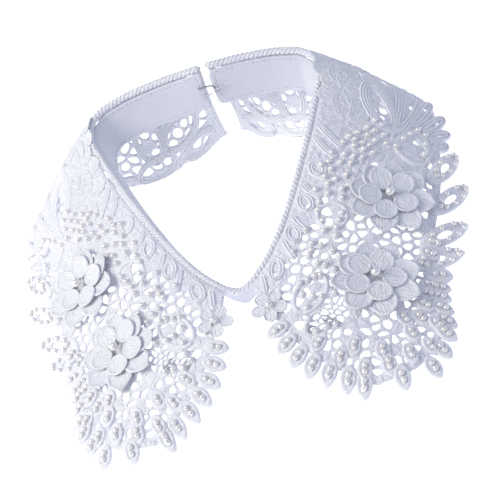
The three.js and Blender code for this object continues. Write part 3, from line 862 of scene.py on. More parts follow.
SPRAYS = (
    Spray(((0.352, 0.58), (0.43, 0.54), (0.498, 0.485)), 6.4, 4),
    Spray(((0.352, 0.77), (0.43, 0.63), (0.496, 0.52)), 5.4, 3),
    Spray(((0.015, 0.40), (0.02, 0.70), (0.012, 0.97)), 3.4, 2),
    Spray(((0.02, 0.46), (0.10, 0.50), (0.18, 0.60)), 5.0, 3),
    Spray(((0.06, 0.38), (0.13, 0.43), (0.18, 0.50)), 4.0, 3),
    Spray(((0.245, 0.93), (0.28, 0.91), (0.32, 0.85)), 3.8, 2),
    Spray(((0.52, 0.04), (0.545, 0.11), (0.57, 0.21)), 4.0, 3),
    Spray(((0.555, 0.035), (0.58, 0.10), (0.60, 0.19)), 4.0, 3),
    Spray(((0.685, 0.035), (0.70, 0.09), (0.705, 0.17)), 3.8, 3),
    Spray(((0.775, 0.035), (0.79, 0.09), (0.80, 0.16)), 3.4, 2),
    Spray(((0.84, 0.035), (0.858, 0.085), (0.87, 0.14)), 3.2, 2),
    Spray(((0.933, 0.035), (0.94, 0.075), (0.945, 0.12)), 3.0, 2),
    Spray(((0.54, 0.46), (0.50, 0.54), (0.478, 0.60), (0.472, 0.68), (0.50, 0.74)), 4.0, 1),
)


@dataclass
class LaceBands:
    """The ridged cords that lie over the ground."""

    pattern: Pattern
    height: float = 1.75
    step: float = 1.3
    end_share: float = 0.45

    def stamps(self) -> Iterable[Stamp]:
        """Cords, flat on the pattern."""
        for loop in LOOPS:
            a, b = self.pattern.flat([loop.start, loop.end])
            middle, along = (a + b) / 2, unit(b - a)
            wide = (loop.width - loop.band) / 2
            half = max(float(np.linalg.norm(b - a)) / 2 - loop.band / 2, wide)
            aside = np.array([-along[1], along[0]])
            t = np.linspace(0, 2 * math.pi, 25)[:-1, None]
            ring = middle + along * np.cos(t) * half + aside * np.sin(t) * wide
            path = path_through(ring, self.step, closed=True)
            yield swept(path, ridged(loop.band, loop.ridges, self.height), True)
        for spray in SPRAYS:
            path = path_through(self.pattern.flat(spray.places), self.step)
            section = ridged(spray.band, spray.ridges, self.height)
            yield swept(path, section, False, spray.band * self.end_share)


@dataclass(frozen=True)
class NetWindow:
    """A window of fine net: its middle, its size, and its turn in radians."""

    place: tuple[float, float]
    wide: float
    high: float
    turn: float


NET_WINDOWS = (NetWindow((0.922, 0.45), 8.0, 4.0, 0.5), NetWindow((0.937, 0.405), 5.0, 3.4, 0.2))


@dataclass
class FineNet:
    """The small windows of fine net between the leaves. Their dark thread is painted shade, the shadow seen
    through the net.
    """

    pattern: Pattern
    pitch: float = 1.1
    thread: float = 0.24
    lift: float = 1.0

    def fill(self, batch: Batch) -> None:
        """Adds the windows, flat on the pattern."""
        for window in NET_WINDOWS:
            bm = bmesh.new()
            bmesh.ops.create_grid(bm, x_segments=int(window.wide / self.pitch),
                                  y_segments=int(window.high / self.pitch), size=0.5)
            bmesh.ops.scale(bm, vec=(window.wide, window.high, 1), verts=bm.verts)
            bmesh.ops.wireframe(bm, faces=bm.faces, thickness=self.thread, use_replace=True,
                                use_boundary=True, use_even_offset=True)
            stamp = Stamp.cut(bm)
            x, y = self.pattern.flat([window.place])[0]
            batch.add(stamp, stamp.placed((x, y, self.lift), window.turn))


class LeafStyle(Enum):
    """The kinds of hem leaves."""

    PAIRED = 1
    RINGED = 2


@dataclass(frozen=True)
class Leaf:
    """One leaf: where its tip or its middle lies, its size, and its tilt towards the back."""

    place: tuple[float, float]
    length: float
    width: float
    style: LeafStyle
    by_tip: bool = True
    tilt: float = 0.0


LEAF_TIPS = (
    Row((0.966, 0.33), (0.968, 0.85), 6),
    Row((0.970, 0.95), (0.928, 1.00), 3),
    Row((0.906, 1.005), (0.862, 1.00), 3),
    Row((0.839, 0.99), (0.790, 0.98), 3),
)
LEAF_MIDDLES = (
    Row((0.941, 0.485), (0.942, 0.735), 3),
    Row((0.930, 0.605), (0.917, 0.830), 3),
    Row((0.954, 0.82), (0.932, 0.785), 2),
    Row((0.897, 0.80), (0.80, 0.86), 5),
    Row((0.902, 0.90), (0.872, 0.90), 2),
    Row((0.883, 0.745), (0.883, 0.745), 1),
    Row((0.765, 0.80), (0.70, 0.83), 3),
)


SIDE_LEAVES = (
    Leaf((0.758, 0.975), 16.0, 10.5, LeafStyle.PAIRED, tilt=26),
    Leaf((0.686, 1.0), 34.0, 11.5, LeafStyle.RINGED, tilt=48),
    Leaf((0.626, 1.0), 34.0, 11.5, LeafStyle.RINGED, tilt=54),
    Leaf((0.548, 0.99), 34.0, 11.5, LeafStyle.RINGED, tilt=60),
    Leaf((0.480, 0.94), 34.0, 11.5, LeafStyle.RINGED, tilt=64),
)


def leaf_table() -> list[Leaf]:
    """All leaves of one half."""
    paired = LeafStyle.PAIRED
    leaves = [Leaf(middle, 11.8, 7.6, paired, False) for row in LEAF_MIDDLES for middle in row.places()]
    leaves += [Leaf(tip, 13.0, 8.2, paired) for row in LEAF_TIPS for tip in row.places()]
    return [*leaves, *SIDE_LEAVES]


# Rims of a leaf and of a cup, from the outline inward, each with its width and its rise
CLOSED_RIMS = ((0.08, 0.9), (0.12, 0.35), (0.12, 0.0), (0.12, -0.4), (0.2, -0.1))
OPEN_RIMS = ((0.07, 0.8), (0.1, 0.3), (0.14, 0.0), (0.16, -0.2), (0.15, 0.0), (0.08, -0.9))
CUP_RIMS = ((0.4, 1.0), (0.5, 0.25), (0.5, -0.2))
# Pearls on a leaf, as shares of its width aside and of its length along
PAIR_SPOTS = ((0.0, 0.38), (0.0, 0.62))
RING_ANGLES = (20, 62, 100, 140, 180, 222, 262, 305, 342)


@dataclass
class HemLeaves:
    """The padded leaves round the hem, and the pearls that sit on them."""

    pattern: Pattern
    front_start: float = 0.78
    lift: float = 0.25
    lift_step: float = 0.35
    pearl_lift: float = 1.7

    @staticmethod
    def template(width: float, length: float, opened: bool) -> Stamp:
        """A leaf from its root at the origin to its tip along y, with a raised rim.

        Args:
            width: Width of the leaf.
            length: Length of the leaf.
            opened: Whether its middle is cut out.

        Returns:
            The leaf, the same on both faces.
        """
        if opened:
            bm = pad(22, 1, OPEN_RIMS, Middle.OPEN, 0.02)
        else:
            bm = pad(22, 1, CLOSED_RIMS, Middle.RAISED, 0.02)
        for vert in bm.verts:
            x, y = vert.co.x, vert.co.y
            narrow = 1 - 0.28 * max(0.0, y) ** 3 - 0.12 * max(0.0, -y) ** 2
            vert.co.x = x * width / 2 * narrow
            vert.co.y = (y + 1) * length / 2
        return Stamp.cut(bm)

    def turn(self, leaf: Leaf, spot: np.ndarray) -> float:
        """Angle of a leaf on the pattern. Leaves of the front fan out from above the lower flower."""
        if leaf.place[0] > self.front_start:
            fan = spot - self.pattern.flat([(BLOOMS[1].along, BLOOMS[1].across - 0.05)])[0]
            return math.atan2(fan[1], fan[0]) - math.pi / 2
        return self.pattern.heading(leaf.place) - math.pi / 2 + math.radians(leaf.tilt)

    @staticmethod
    def pearl_spots(style: LeafStyle) -> Sequence[tuple[float, float]]:
        """Pearls on a leaf, as shares of its width aside and of its length along."""
        if style is LeafStyle.PAIRED:
            return PAIR_SPOTS
        return [(0.29 * math.sin(a), 0.55 + 0.33 * math.cos(a)) for a in np.radians(RING_ANGLES)]

    def fill(self, leaves: Batch, pearls: list[tuple[float, float, float]]) -> None:
        """Adds the leaves and lists their pearls on the pattern, with their lift.

        Args:
            leaves: Gets the leaves.
            pearls: Gets the places of the pearls.
        """
        for index, leaf in enumerate(leaf_table()):
            stamp = self.template(leaf.width, leaf.length, leaf.style is LeafStyle.RINGED)
            spot = self.pattern.flat([leaf.place])[0]
            turn = self.turn(leaf, spot)
            way = np.array([-math.sin(turn), math.cos(turn)])
            side = np.array([math.cos(turn), math.sin(turn)])
            root = spot - way * leaf.length * (1.0 if leaf.by_tip else 0.5)
            lift = self.lift + self.lift_step * (index % 3)
            leaves.add(stamp, stamp.placed((root[0], root[1], lift), turn))
            for aside, along in self.pearl_spots(leaf.style):
                spot = root + way * along * leaf.length + side * aside * leaf.width
                pearls.append((spot[0], spot[1], lift + self.pearl_lift))


PEARL_ROWS = (
    Row((0.480, 0.365), (0.485, 0.41), 2),
    Row((0.503, 0.325), (0.510, 0.425), 3),
    Row((0.522, 0.28), (0.530, 0.44), 4),
    Row((0.537, 0.225), (0.545, 0.36), 4),
    Row((0.557, 0.205), (0.562, 0.38), 4),
    Row((0.588, 0.15), (0.580, 0.33), 4),
    Row((0.612, 0.15), (0.600, 0.265), 3),
    Row((0.627, 0.10), (0.633, 0.255), 3),
    Row((0.652, 0.14), (0.655, 0.285), 3),
    Row((0.669, 0.18), (0.670, 0.25), 2),
    Row((0.693, 0.125), (0.688, 0.27), 3),
    Row((0.72, 0.155), (0.743, 0.165), 2),
    Row((0.728, 0.30), (0.785, 0.295), 4),
    Row((0.765, 0.205), (0.785, 0.235), 2),
    Row((0.527, 0.505), (0.463, 0.655), 4),
    Row((0.470, 0.715), (0.522, 0.700), 3),
    Row((0.823, 0.195), (0.855, 0.195), 3),
    Row((0.818, 0.25), (0.825, 0.36), 3),
    Row((0.863, 0.25), (0.858, 0.34), 3),
    Row((0.878, 0.295), (0.907, 0.225), 4),
    Row((0.915, 0.26), (0.912, 0.315), 2),
    Row((0.905, 0.355), (0.895, 0.39), 2),
    Row((0.925, 0.32), (0.938, 0.395), 3),
    Row((0.935, 0.435), (0.922, 0.475), 3),
    Row((0.800, 0.135), (0.860, 0.105), 2),
)


@dataclass
class SeedPearls:
    """The seed pearls of one half."""

    pattern: Pattern
    radius: float = 1.4
    spread: float = 0.7
    lift: float = 2.1
    cup_radius: float = 2.2
    cup_lift: float = 0.35

    def _off_leaves(self) -> list[tuple[float, float]]:
        """Places of the pearls off the leaves, a little out of line as sewn by hand."""
        rng = random.Random(PEARL_SEED)
        line = self.pattern.flat([place for row in PEARL_ROWS for place in row.places()])
        return [(x + rng.uniform(-self.spread, self.spread), y + rng.uniform(-self.spread, self.spread))
                for x, y in line]

    def cups(self, batch: Batch) -> None:
        """Adds the padded round that each pearl off the leaves sits in."""
        cup = Stamp.cut(pad(12, self.cup_radius, CUP_RIMS, Middle.FLAT, 0.02))
        for x, y in self._off_leaves():
            batch.add(cup, cup.placed((x, y, self.cup_lift), x))

    def fill(self, batch: Batch, on_leaves: Sequence[tuple[float, float, float]]) -> None:
        """Adds all pearls of the half, flat on the pattern."""
        bm = bmesh.new()
        bmesh.ops.create_icosphere(bm, subdivisions=2, radius=self.radius)
        ball = Stamp.cut(bm)
        spots = [(x, y, self.lift) for x, y in self._off_leaves()]
        for spot in [*spots, *on_leaves]:
            batch.add(ball, ball.placed(spot))


@dataclass(frozen=True)
class PetalRing:
    """One ring of petals: how many, their reach, size and seat over the lace.

    rise lifts their tips, point narrows them, lap tips each over the next, relief scales the
    stitched rim, and lean lengthens the petals on one side.
    """

    count: int
    reach: float
    width: float
    length: float
    seat: float
    rise: float
    point: float
    lap: float
    relief: float = 1.0
    lean: float = 0.0


LOWER_RING = PetalRing(8, 22.3, 14.6, 17.5, LACE_WALL / 2 + CLEAR, PETAL_RISE, 0.4, 0.9, 1.0, 0.12)
UPPER_RING = PetalRing(5, 16.0, 12.8, 12.8, LACE_WALL / 2 + 2 * CLEAR + PETAL_WALL, 2.6, 0.0, 0.0)
MOTIF_RING = PetalRing(6, 15.0, 11.5, 13.5, LACE_WALL / 2 - 0.75, 0.0, 0.0, 0.0, 0.45)
MOTIFS = (Bloom(0.415, 0.16, 0), Bloom(0.50, 0.20, 20), Bloom(0.335, 0.12, 10), Bloom(0.30, 0.42, 30))
CORNER_RING = PetalRing(5, 9.0, 6.8, 7.2, LACE_WALL / 2 + CLEAR, 0.4, 0.0, 0.0)
PETAL_RIMS = ((0.04, 0.42), (0.06, 0.2), (0.06, 0.0), (0.05, -0.34), (0.2, 0.06), (0.25, 0.05))


@dataclass
class Flower:
    """A flower of stitched petals on one fall."""

    pattern: Pattern
    bloom: Bloom
    curls: tuple[float, float] = (0.75, 1.25)
    dishes: tuple[float, float] = (0.2, 0.7)
    dish: float = 0.9
    lean_way: float = 50.0

    @staticmethod
    def template(ring: PetalRing) -> Stamp:
        """A petal along x from the flower's middle, with a stitched rim."""
        bm = pad(26, 1, PETAL_RIMS, Middle.RAISED, SEAM)
        inner = ring.reach - ring.length
        for vert in bm.verts:
            x, y = vert.co.x, vert.co.y
            narrow = 1 - ring.point * max(0.0, x) ** 2.4 - 0.22 * max(0.0, -x) ** 1.5
            vert.co.x = inner + (x + 1) / 2 * ring.length
            vert.co.y = y * ring.width / 2 * narrow
        return Stamp.cut(bm)

    @staticmethod
    def cut(ring: PetalRing) -> tuple[tuple[float, float], float]:
        """Size of the square that a ring of petals is cut from, and the area of its petals."""
        area = ring.count * math.pi / 4 * ring.width * ring.length * (0.93 - 0.25 * ring.point)
        return (2 * ring.reach, 2 * ring.reach), area

    def fill(self, batch: Batch, ring: PetalRing, seed: int) -> None:
        """Adds one ring of petals, flat on the pattern."""
        stamp = self.template(ring)
        middle = self.pattern.flat([(self.bloom.along, self.bloom.across)])[0]
        rng = random.Random(seed)
        base = self.pattern.heading((self.bloom.along, self.bloom.across)) - math.pi / 2
        for k in range(ring.count):
            turn = base + math.radians(self.bloom.turn) + 2 * math.pi * k / ring.count
            points = stamp.points.copy()
            lean = 1 + ring.lean * math.cos(turn - base - math.radians(self.lean_way))
            reach, aside = points[:, 0] * lean, points[:, 1]
            points[:, 2] *= ring.relief
            curl = rng.uniform(*self.curls)
            cup = ring.rise * curl * (np.clip(reach, 0, None) / ring.reach) ** 2
            dish = self.dish * (np.abs(aside) / (ring.width / 2)) ** 2 * rng.uniform(*self.dishes)
            lap = ring.lap * (aside / (ring.width / 2))
            points[:, 2] += ring.seat + PETAL_WALL / 2 + cup + dish + lap
            c, s = math.cos(turn), math.sin(turn)
            placed = np.stack([reach * c - aside * s + middle[0], reach * s + aside * c + middle[1],
                               points[:, 2]], -1)
            batch.add(stamp, placed)


@dataclass
class NeckRope:
    """The twisted cord on the fold."""

    neckline: Neckline
    pitch: float = 7.5
    strands: int = 3
    strand: float = 1.3
    core: float = 0.78
    sides: int = 7
    step: float = 0.85
    end: float = 1.2

    def fill(self, batch: Batch) -> None:
        """Adds the strands, in millimetres in the frame."""
        place = np.linspace(-1, 1, 1200)
        line = self.neckline.fold(place)
        gone = gone_along(line)
        steps = int(gone[-1] / self.step)
        at = np.linspace(0, gone[-1], steps)
        line = between(at, gone, line)
        ahead = unit(np.gradient(line, axis=0))
        aside = unit(np.cross(ahead, np.array([0, 0, 1.0])))
        over = np.cross(aside, ahead)
        for k in range(self.strands):
            bm, i, j = sheet(steps, self.sides + 1)
            angle = j * 2 * math.pi / self.sides
            twist = 2 * math.pi * (at[i] / self.pitch + k / self.strands)
            size = rounded(np.minimum(at[i], gone[-1] - at[i]) / self.end)
            out = self.core * np.cos(twist) + self.strand * np.cos(angle)
            up = self.core * np.sin(twist) + self.strand * np.sin(angle)
            points = line[i] + aside[i] * (out * size)[:, None] + over[i] * (up * size)[:, None]
            batch.add(laid(bm, points, np.stack([at[i], angle * self.strand], -1), SEAM / 2))


# Section of the neckband's cloth from the fold down: place and thickness, as shares
BAND_DOWN = (0.0, 0.012, 0.05, 0.09, 0.13, 0.3, 0.5, 0.7, 0.86, 0.895, 0.93, 0.97, 0.992, 1.0)
BAND_THICK = (0.35, 0.8, 1.0, 0.86, 1.0, 1.0, 1.0, 1.0, 1.0, 0.84, 1.1, 1.12, 0.9, 0.35)
# Stations of the cloth near its ends, in millimetres
END_STATIONS = (0.0, 0.25, 0.8, 1.6, 2.4, 2.9, 3.6)


@dataclass
class Neckband:
    """The plain stitched stand inside the neck, and its rows of stitches."""

    neckline: Neckline
    hem_fold: float = 2.4
    hem_swell: float = 1.16
    groove_at: float = 0.3
    groove_reach: float = 0.35
    groove_wall: float = 0.84
    left_corner: float = 1.2
    right_corner: float = 5.0
    corner_top: float = 0.9
    corner_low: float = 0.6
    edge: float = 0.8
    edge_wall: float = 0.3
    pitch: float = 1.9
    stitch: tuple[float, float, float] = (1.0, 0.34, 0.26)
    stitch_gap: float = 3.0
    stitch_seat: float = BAND_WALL / 2 * 0.98
    row_from_top: float = 1.7
    row_from_low: float = 2.0
    row_start: float = 3.5

    def __post_init__(self) -> None:
        """Measures the fold, to place things along the band in millimetres."""
        self.place = np.linspace(-1, 1, 801)
        line = self.neckline.fold(self.place)
        self.gone = gone_along(line)

    def to_frame(self, points: np.ndarray) -> np.ndarray:
        """Points in the frame from (along the band, down from the fold, inward)."""
        place = np.interp(points[:, 0], self.gone, self.place)
        return self.neckline.band(place, points[:, 1], points[:, 2])

    def height(self, at: np.ndarray) -> np.ndarray:
        """Depth of the band's lower edge under the fold."""
        along = 1 - np.abs(np.interp(at, self.gone, self.place))
        return BAND_HEIGHT + (BAND_FRONT_HEIGHT - BAND_HEIGHT) * smooth(along, 0.6, 1)

    def cut(self) -> tuple[tuple[float, float], float]:
        """Size of the flat strip, and its area."""
        tall = self.height(self.gone) - CORD_SEAT
        area = float(np.sum((tall[1:] + tall[:-1]) / 2 * np.diff(self.gone)))
        return (BAND_HEIGHT - CORD_SEAT, float(self.gone[-1])), area

    def cloth(self) -> Stamp:
        """The strip of cloth with its hems, as a closed section along the band."""
        down, thick = np.array(BAND_DOWN), np.array(BAND_THICK)
        t = np.concatenate([down, down[::-1][1:-1], down[:1]])
        face = np.concatenate([thick, -thick[::-1][1:-1], thick[:1]]) * BAND_WALL / 2
        long = self.gone[-1]
        ends = np.array(END_STATIONS)
        at = np.concatenate([ends, np.arange(5, long - 4.5, self.pitch), long - ends[::-1]])
        bm, i, j = sheet(len(at), len(t))
        x = at[i]
        from_end = np.minimum(x, long - x)
        radius = np.where(x > long / 2, self.right_corner, self.left_corner)
        cut = radius - np.sqrt(np.clip(radius ** 2 - np.clip(radius - from_end, 0, None) ** 2, 0, None))
        top = CORD_SEAT + cut * self.corner_top
        low = self.height(x) - cut * self.corner_low
        edge = np.clip(from_end / self.edge, self.edge_wall, 1.0)
        fold = np.where(from_end < self.hem_fold, self.hem_swell, 1.0)
        in_groove = np.abs(from_end - self.hem_fold - self.groove_at) < self.groove_reach
        groove = np.where(in_groove, self.groove_wall, 1.0)
        z = face[j] * edge * fold * groove
        y = top + (low - top) * t[j]
        return laid(bm, np.stack([x, y, z], -1), np.stack([x, y], -1), fill=True)

    def stitches(self, batch: Batch) -> None:
        """Adds the rows of stitches on both faces, along and down the ends."""
        bm = bmesh.new()
        bmesh.ops.create_icosphere(bm, subdivisions=1, radius=1)
        bead = Stamp.cut(bm)
        for at in np.arange(self.row_start, self.gone[-1] - self.row_start, self.stitch_gap):
            low = float(self.height(np.array([at]))[0])
            for sunk in (CORD_SEAT + self.row_from_top, low - self.row_from_low):
                for face in (-1, 1):
                    place = (at, sunk, face * self.stitch_seat)
                    batch.add(bead, bead.placed(place, 0, self.stitch))
        from_end = self.hem_fold + self.groove_at
        for at in (from_end, self.gone[-1] - from_end):
            for sunk in np.arange(CORD_SEAT + 4, BAND_HEIGHT - 3, self.stitch_gap):
                for face in (-1, 1):
                    place = (at, sunk, face * self.stitch_seat)
                    batch.add(bead, bead.placed(place, math.pi / 2, self.stitch))


class Value:
    """A number socket that can be used in arithmetic."""

    def __init__(self, tree: bpy.types.NodeTree, socket: bpy.types.NodeSocket) -> None:
        """Keeps the tree and the socket."""
        self.tree = tree
        self.socket = socket

    def _math(self, operation: str, first: "Value | float", second: "Value | float") -> "Value":
        """Adds a Math node of two values."""
        node = self.tree.nodes.new("ShaderNodeMath")
        node.operation = operation
        for slot, item in zip(node.inputs, (first, second)):
            if isinstance(item, Value):
                self.tree.links.new(item.socket, slot)
            else:
                slot.default_value = item
        return Value(self.tree, node.outputs[0])

    def __add__(self, other: "Value | float") -> "Value":
        """Sum."""
        return self._math("ADD", self, other)

    __radd__ = __add__

    def __sub__(self, other: "Value | float") -> "Value":
        """Difference."""
        return self._math("SUBTRACT", self, other)

    def __rsub__(self, other: float) -> "Value":
        """Difference from a number."""
        return self._math("SUBTRACT", other, self)

    def __mul__(self, other: "Value | float") -> "Value":
        """Product."""
        return self._math("MULTIPLY", self, other)

    __rmul__ = __mul__


class Dye:
    """A material that is being made."""

    def __init__(self, name: str) -> None:
        """Starts a material with one shader."""
        self.material = bpy.data.materials.new(name)
        self.material.use_nodes = True
        self.tree = self.material.node_tree
        self.shader = self.tree.nodes["Principled BSDF"]

    def node(self, kind: str, settings: dict[str, object] | None = None, **values: object) -> bpy.types.Node:
        """Adds a node.

        Args:
            kind: Type of the node.
            settings: Its own settings, such as an operation, or stops for a ramp.
            values: Values or links of its sockets, with _ for a blank in a name.

        Returns:
            The node.
        """
        made = self.tree.nodes.new(kind)
        for key, value in (settings or {}).items():
            if key == "stops":
                for element, (at, colour) in zip(made.color_ramp.elements, value):
                    element.position, element.color = at, colour
            else:
                setattr(made, key, value)
        for key, value in values.items():
            self.join(value, made.inputs[key.replace("_", " ")])
        return made

    def join(self, value: object, slot: bpy.types.NodeSocket) -> None:
        """Sets or links one socket."""
        if isinstance(value, Value):
            self.tree.links.new(value.socket, slot)
        elif isinstance(value, bpy.types.NodeSocket):
            self.tree.links.new(value, slot)
        else:
            slot.default_value = value

    def value(self, node: bpy.types.Node, output: str = "Fac") -> Value:
        """A node's output as a number for arithmetic."""
        return Value(self.tree, node.outputs[output])

    def blend(self, share: Value, dark: tuple[float, ...], light: tuple[float, ...]) -> bpy.types.NodeSocket:
        """Colour between two colours."""
        mix = self.tree.nodes.new("ShaderNodeMix")
        mix.data_type = "RGBA"
        factor, first, second, result = 0, 6, 7, 2  # its colour sockets have no names of their own
        self.join(share, mix.inputs[factor])
        mix.inputs[first].default_value = dark
        mix.inputs[second].default_value = light
        return mix.outputs[result]

    def bump(self, height: Value, distance: float, strength: float = 1.0) -> None:
        """Feeds a height to the shader's normal."""
        node = self.node("ShaderNodeBump", None, Height=height, Distance=distance, Strength=strength)
        self.join(node.outputs["Normal"], self.shader.inputs["Normal"])

    def set(self, **values: object) -> None:
        """Sets or links the shader's sockets, with _ for a blank in a name."""
        for key, value in values.items():
            self.join(value, self.shader.inputs[key.replace("_", " ")])


@dataclass(frozen=True)
class ThreadFinish:
    """Cotton thread laid side by side, as in satin stitch, with knots between.

    The lay gives how often the threads change along and across the UV map. The colour runs from the light
    colour on raised threads and knots to the shade colour in the low grooves between them. That is painted
    shade, under a slow cloud of tone that differs at random.
    """

    name: str
    light: tuple[float, float, float]
    shade: tuple[float, float, float]
    lay: tuple[float, float]
    depth: float
    knots: float
    sheen: float
    roughness: float
    contrast: float = 1.7

    def dye(self) -> bpy.types.Material:
        """Makes the material."""
        dye = Dye(self.name)
        place = dye.node("ShaderNodeTexCoord").outputs["UV"]
        body = dye.node("ShaderNodeTexCoord").outputs["Object"]
        run = dye.node("ShaderNodeMapping", None, Vector=place, Scale=(self.lay[0], self.lay[1], 1))
        thread = dye.value(dye.node("ShaderNodeTexNoise", None, Vector=run.outputs["Vector"], Scale=1.0,
                                    Detail=3.0))
        knot = dye.value(dye.node("ShaderNodeTexVoronoi", None, Vector=body, Scale=1000.0), "Distance")
        fuzz = dye.value(dye.node("ShaderNodeTexNoise", None, Vector=body, Scale=1500.0, Detail=3.0))
        cloud = dye.value(dye.node("ShaderNodeTexNoise", None, Vector=body, Scale=70.0, Detail=3.0))
        height = thread * (1 - self.knots) - knot * self.knots + fuzz * 0.4
        # Painted shade: the colour follows the bump's height, darker where threads, knots and fuzz lie low,
        # over a random cloud of tone
        tone_and_painted_shade = (cloud * 0.4 + thread * 0.7 * (1 - self.knots) + (1 - knot) * 0.5 * self.knots + fuzz * 0.2
                - 0.1)
        tone_and_painted_shade = (tone_and_painted_shade - 0.45) * self.contrast + 0.5
        dye.set(Base_Color=dye.blend(tone_and_painted_shade, (*self.shade, 1), (*self.light, 1)))
        dye.set(Roughness=fuzz * 0.15 + (self.roughness - 0.07))
        dye.set(Sheen_Weight=self.sheen, Sheen_Roughness=0.4, Subsurface_Weight=0.12,
                Subsurface_Radius=(1.0, 1.0, 1.0), Subsurface_Scale=0.0008)
        dye.set(Specular_IOR_Level=0.25)
        dye.bump(height, self.depth * MM)
        return dye.material


@dataclass(frozen=True)
class TwillFinish:
    """Fine twill cloth of the neckband, in grey-lavender that is painted shade of the inside of the neck,
    darker still in the grooves of the weave.
    """

    name: str = "band_twill"

    def dye(self) -> bpy.types.Material:
        """Makes the material."""
        dye = Dye(self.name)
        place = dye.node("ShaderNodeTexCoord").outputs["UV"]
        body = dye.node("ShaderNodeTexCoord").outputs["Object"]
        rib = dye.value(dye.node("ShaderNodeTexWave", {"bands_direction": "DIAGONAL"}, Vector=place,
                                 Scale=4.6, Distortion=0.5, Detail=1.0))
        pick = dye.value(dye.node("ShaderNodeTexWave", {"bands_direction": "Y"}, Vector=place,
                                  Scale=9.0, Distortion=0.3))
        cloud = dye.value(dye.node("ShaderNodeTexNoise", None, Vector=body, Scale=45.0, Detail=4.0))
        # Painted shade: the grey-lavender colours stand in for the shade inside the neck, and ribs and picks
        # darken the colour where the weave lies low, over a random cloud of tone
        tone_and_painted_shade = cloud * 0.6 + rib * 0.25 + pick * 0.15
        dye.set(Base_Color=dye.blend(tone_and_painted_shade, (0.66, 0.68, 0.77, 1), (0.78, 0.80, 0.87, 1)))
        dye.set(Roughness=rib * 0.1 + 0.72, Sheen_Weight=0.2, Specular_IOR_Level=0.3)
        dye.bump(rib * 0.6 + pick * 0.4 + cloud * 0.8, 0.12 * MM)
        return dye.material


@dataclass(frozen=True)
class PearlFinish:
    """Warm white pearl lacquer."""

    name: str = "pearl_lacquer"

    def dye(self) -> bpy.types.Material:
        """Makes the material."""
        dye = Dye(self.name)
        body = dye.node("ShaderNodeTexCoord").outputs["Object"]
        cloud = dye.value(dye.node("ShaderNodeTexNoise", None, Vector=body, Scale=260.0, Detail=2.0))
        dye.set(Base_Color=dye.blend(cloud, (0.84, 0.82, 0.81, 1), (0.93, 0.92, 0.91, 1)))
        dye.set(Metallic=0.35, Roughness=cloud * 0.1 + 0.1, Coat_Weight=0.6, Coat_Roughness=0.05,
                Subsurface_Weight=0.1, Subsurface_Scale=0.0008, Specular_IOR_Level=0.7)
        return dye.material


@dataclass(frozen=True)
class WireFinish:
    """Bright drawn wire."""

    name: str = "bright_wire"

    def dye(self) -> bpy.types.Material:
        """Makes the material."""
        dye = Dye(self.name)
        body = dye.node("ShaderNodeTexCoord").outputs["Object"]
        draw = dye.value(dye.node("ShaderNodeTexNoise", None, Vector=body, Scale=900.0, Detail=2.0))
        dye.set(Base_Color=dye.blend(draw, (0.42, 0.42, 0.43, 1), (0.68, 0.68, 0.68, 1)))
        dye.set(Metallic=1.0, Roughness=draw * 0.15 + 0.28)
        dye.bump(draw, 0.02 * MM)
        return dye.material


@dataclass(frozen=True)
class Finishes:
    """Every material of the collar."""

    ground: bpy.types.Material
    cord: bpy.types.Material
    leaf: bpy.types.Material
    petal: bpy.types.Material
    rope: bpy.types.Material
    stitch: bpy.types.Material
    net: bpy.types.Material
    twill: bpy.types.Material
    pearl: bpy.types.Material
    wire: bpy.types.Material

    @classmethod
    def mixed(cls) -> "Finishes":
        """Makes them all."""
        # White of the raised threads, and lavender shade colour of the grooves between them: painted shade.
        # The petal satin and the other threads below pair their colours the same way
        white, shade = (0.93, 0.935, 0.96), (0.74, 0.765, 0.87)
        return cls(
            ThreadFinish("lace_ground", white, shade, (10, 10), 0.8, 0.6, 0.25, 0.82).dye(),
            ThreadFinish("lace_cord", white, shade, (14, 5), 0.5, 0.25, 0.25, 0.78).dye(),
            ThreadFinish("lace_leaf", white, shade, (5, 14), 0.6, 0.4, 0.25, 0.8).dye(),
            ThreadFinish("petal_satin", (0.94, 0.955, 0.995), (0.77, 0.795, 0.905), (1.6, 8.5), 1.5, 0.1,
                         0.35, 0.7, contrast=2.4).dye(),
            ThreadFinish("rope_thread", white, shade, (12, 4), 0.8, 0.45, 0.25, 0.8).dye(),
            ThreadFinish("stitch_thread", (0.72, 0.74, 0.82), (0.55, 0.57, 0.66), (16, 4), 0.2, 0.3, 0.2,
                         0.8).dye(),
            # Dark net thread: painted shade, the shadow seen through the fine net
            ThreadFinish("net_thread", (0.40, 0.41, 0.46), (0.18, 0.18, 0.22), (10, 10), 0.2, 0.5, 0.1,
                         0.85).dye(),
            TwillFinish().dye(),
            PearlFinish().dye(),
            WireFinish().dye(),
        )


